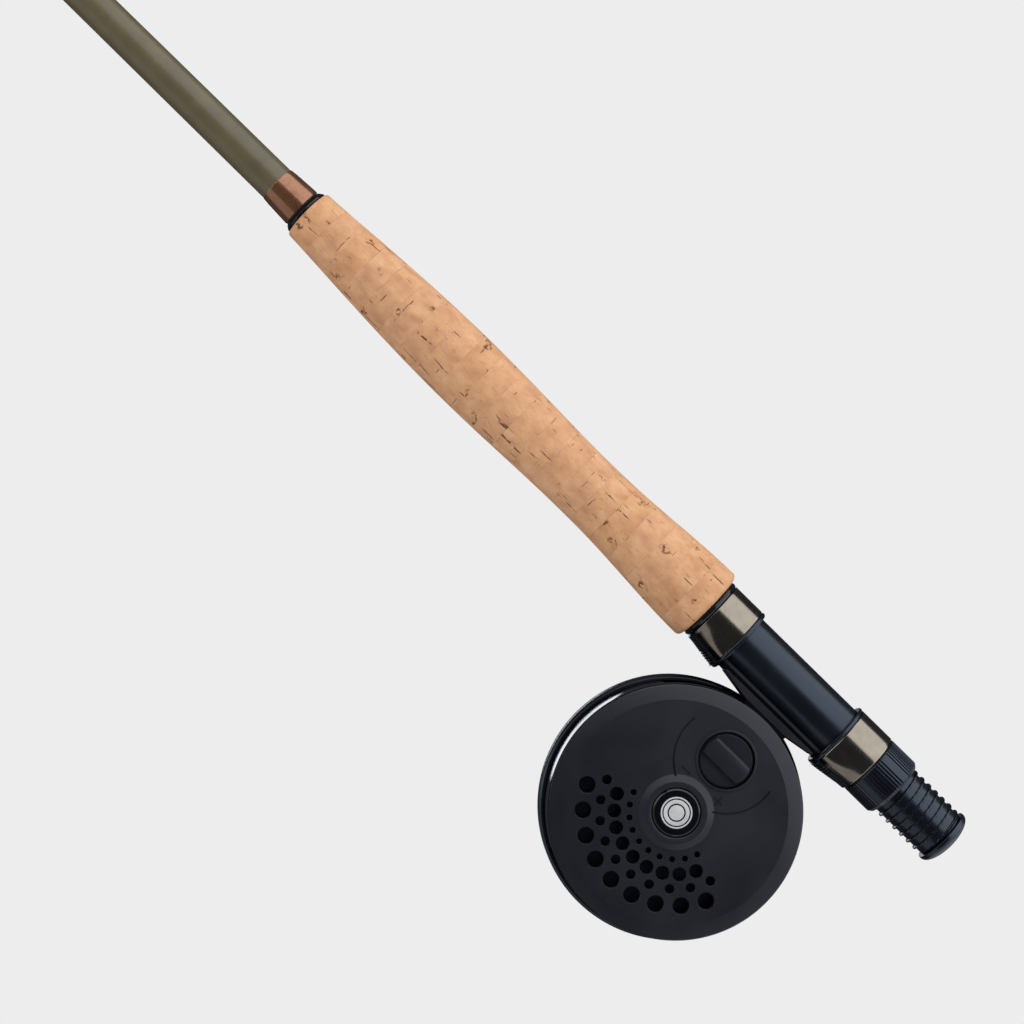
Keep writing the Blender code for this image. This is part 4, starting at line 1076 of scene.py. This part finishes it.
low, high = mm_box("tip_top")
tube_end = high.z - 3.6
inside = blank_radius(low.z) + 0.2
outline = [(inside, low.z), (inside + 0.45, low.z), (inside + 0.45, tube_end - 0.6), (inside, tube_end)]
outline += [(0, tube_end), (0, tube_end - 1), (inside, tube_end - 1)]
tip_top = loose("line_loop", lathe(soften(outline, 0.2), 48), stainless)
path = []
for turn in spaced(0, 2 * math.pi, 49)[:-1]:
    x = -2.6 - 2.15 * math.cos(turn)
    path.append((x, 2.15 * math.sin(turn), high.z - 4.0 - 0.75 * x, 0.42))
work(tip_top, [sweep(path, 12, True)], "UNION")
settle(tip_top, "tip", "tip_top")

# %% [markdown]
# ## Inside the reel
#
# The drum, the drag cam and shoe, the click pawl and its spring, and the spindle are seen only
# through the drain holes or when the spool comes off. Their solids have the right shapes already, so
# they stay, and get the same metals and plastics as the rest.

# %% Finish what stays
KEPT = {
    "drag_cam": turned_brass, "click_gear": turned_brass, "spool_bush": turned_brass,
    "drag_shoe": satin_plastic, "spindle": stainless, "click_pawl": stainless, "pawl_pin": stainless,
    "pawl_spring": stainless, "spool_latch": stainless, "latch_spring": stainless,
    "foot_screw_1": stainless, "foot_screw_2": stainless,
}
for node, finish in KEPT.items():
    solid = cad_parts[node]
    for slot in solid.material_slots:
        slot.material = finish
print("kept:", ", ".join(KEPT))

# %% [markdown]
# ## Floor, room and lights
#
# The rod is held up by its grip, so the floor lies well below it: a pale round sheet. The room is a
# plain pale grey wherever the camera looks. The gloss on black plastic and on the metal rings comes
# from large soft lights in a darker studio: a strong one beside the rod, a weak one beside the reel,
# one towards the tip, and a small one behind that draws the bright line on the reel's polished wall.

# %% Make the floor and the light
FLOOR_Z = -1.1
FLOOR_RADIUS_MM = 1500
BACKDROP = tint("#EDEDED")

floor_finish = bpy.data.materials.new("pale_floor")
floor_finish.use_nodes = True
floor_finish.node_tree.nodes["Principled BSDF"].inputs["Base Color"].default_value = BACKDROP
floor_finish.node_tree.nodes["Principled BSDF"].inputs["Roughness"].default_value = 0.8
bm = bmesh.new()
bmesh.ops.create_circle(bm, cap_ends=True, segments=128, radius=FLOOR_RADIUS_MM)
floor = loose("floor", bm, floor_finish)
floor.location.z = FLOOR_Z

world = bpy.data.worlds.new("studio")
bpy.context.scene.world = world
world.use_nodes = True
tree = world.node_tree
rays = add(tree, "LightPath")
soft_fill = add(tree, "Mix", {
    "Factor": rays.outputs["Is Diffuse Ray"], 6: tint("#3C3D42"), 7: tint("#CFD0D4")}, data_type="RGBA")
seen = add(tree, "Mix", {
    "Factor": rays.outputs["Is Camera Ray"], 6: soft_fill.outputs[2], 7: BACKDROP}, data_type="RGBA")
tree.links.new(seen.outputs[2], tree.nodes["Background"].inputs["Color"])


def softbox(name, middle, aim, width, height, radiance, colour=(1, 1, 1)):
    """A soft light of that brightness and size, in metres, that faces from middle towards aim."""
    data = bpy.data.lights.new(name, "AREA")
    data.shape = "RECTANGLE"
    data.size = width
    data.size_y = height
    data.energy = math.pi * width * height * radiance
    data.color = colour
    made = bpy.data.objects.new(name, data)
    made.location = middle
    made.rotation_euler = (Vector(aim) - Vector(middle)).to_track_quat("-Z", "Y").to_euler()
    made.visible_camera = False
    bpy.context.scene.collection.objects.link(made)


COOL = (0.97, 0.98, 1.0)
COLD = (0.92, 0.96, 1.0)
WARM = (1.0, 0.97, 0.98)
softbox("rod_side_light", (0.515, -0.345, 0.15), (-0.6, 0.3, 0.15), 1.1, 1.8, 1.5, COOL)
softbox("reel_side_light", (-0.615, -0.17, 0.15), (0.3, 0.08, 0.15), 0.6, 1.5, 0.42, WARM)
softbox("back_light", (-0.09, 1.5, 0.45), (-0.09, 0, 0.45), 0.42, 0.34, 1.9, COLD)
softbox("tip_side_light", (-0.3, -0.45, 1.05), (-0.05, 0.0, 0.1), 1.3, 0.4, 1.6)
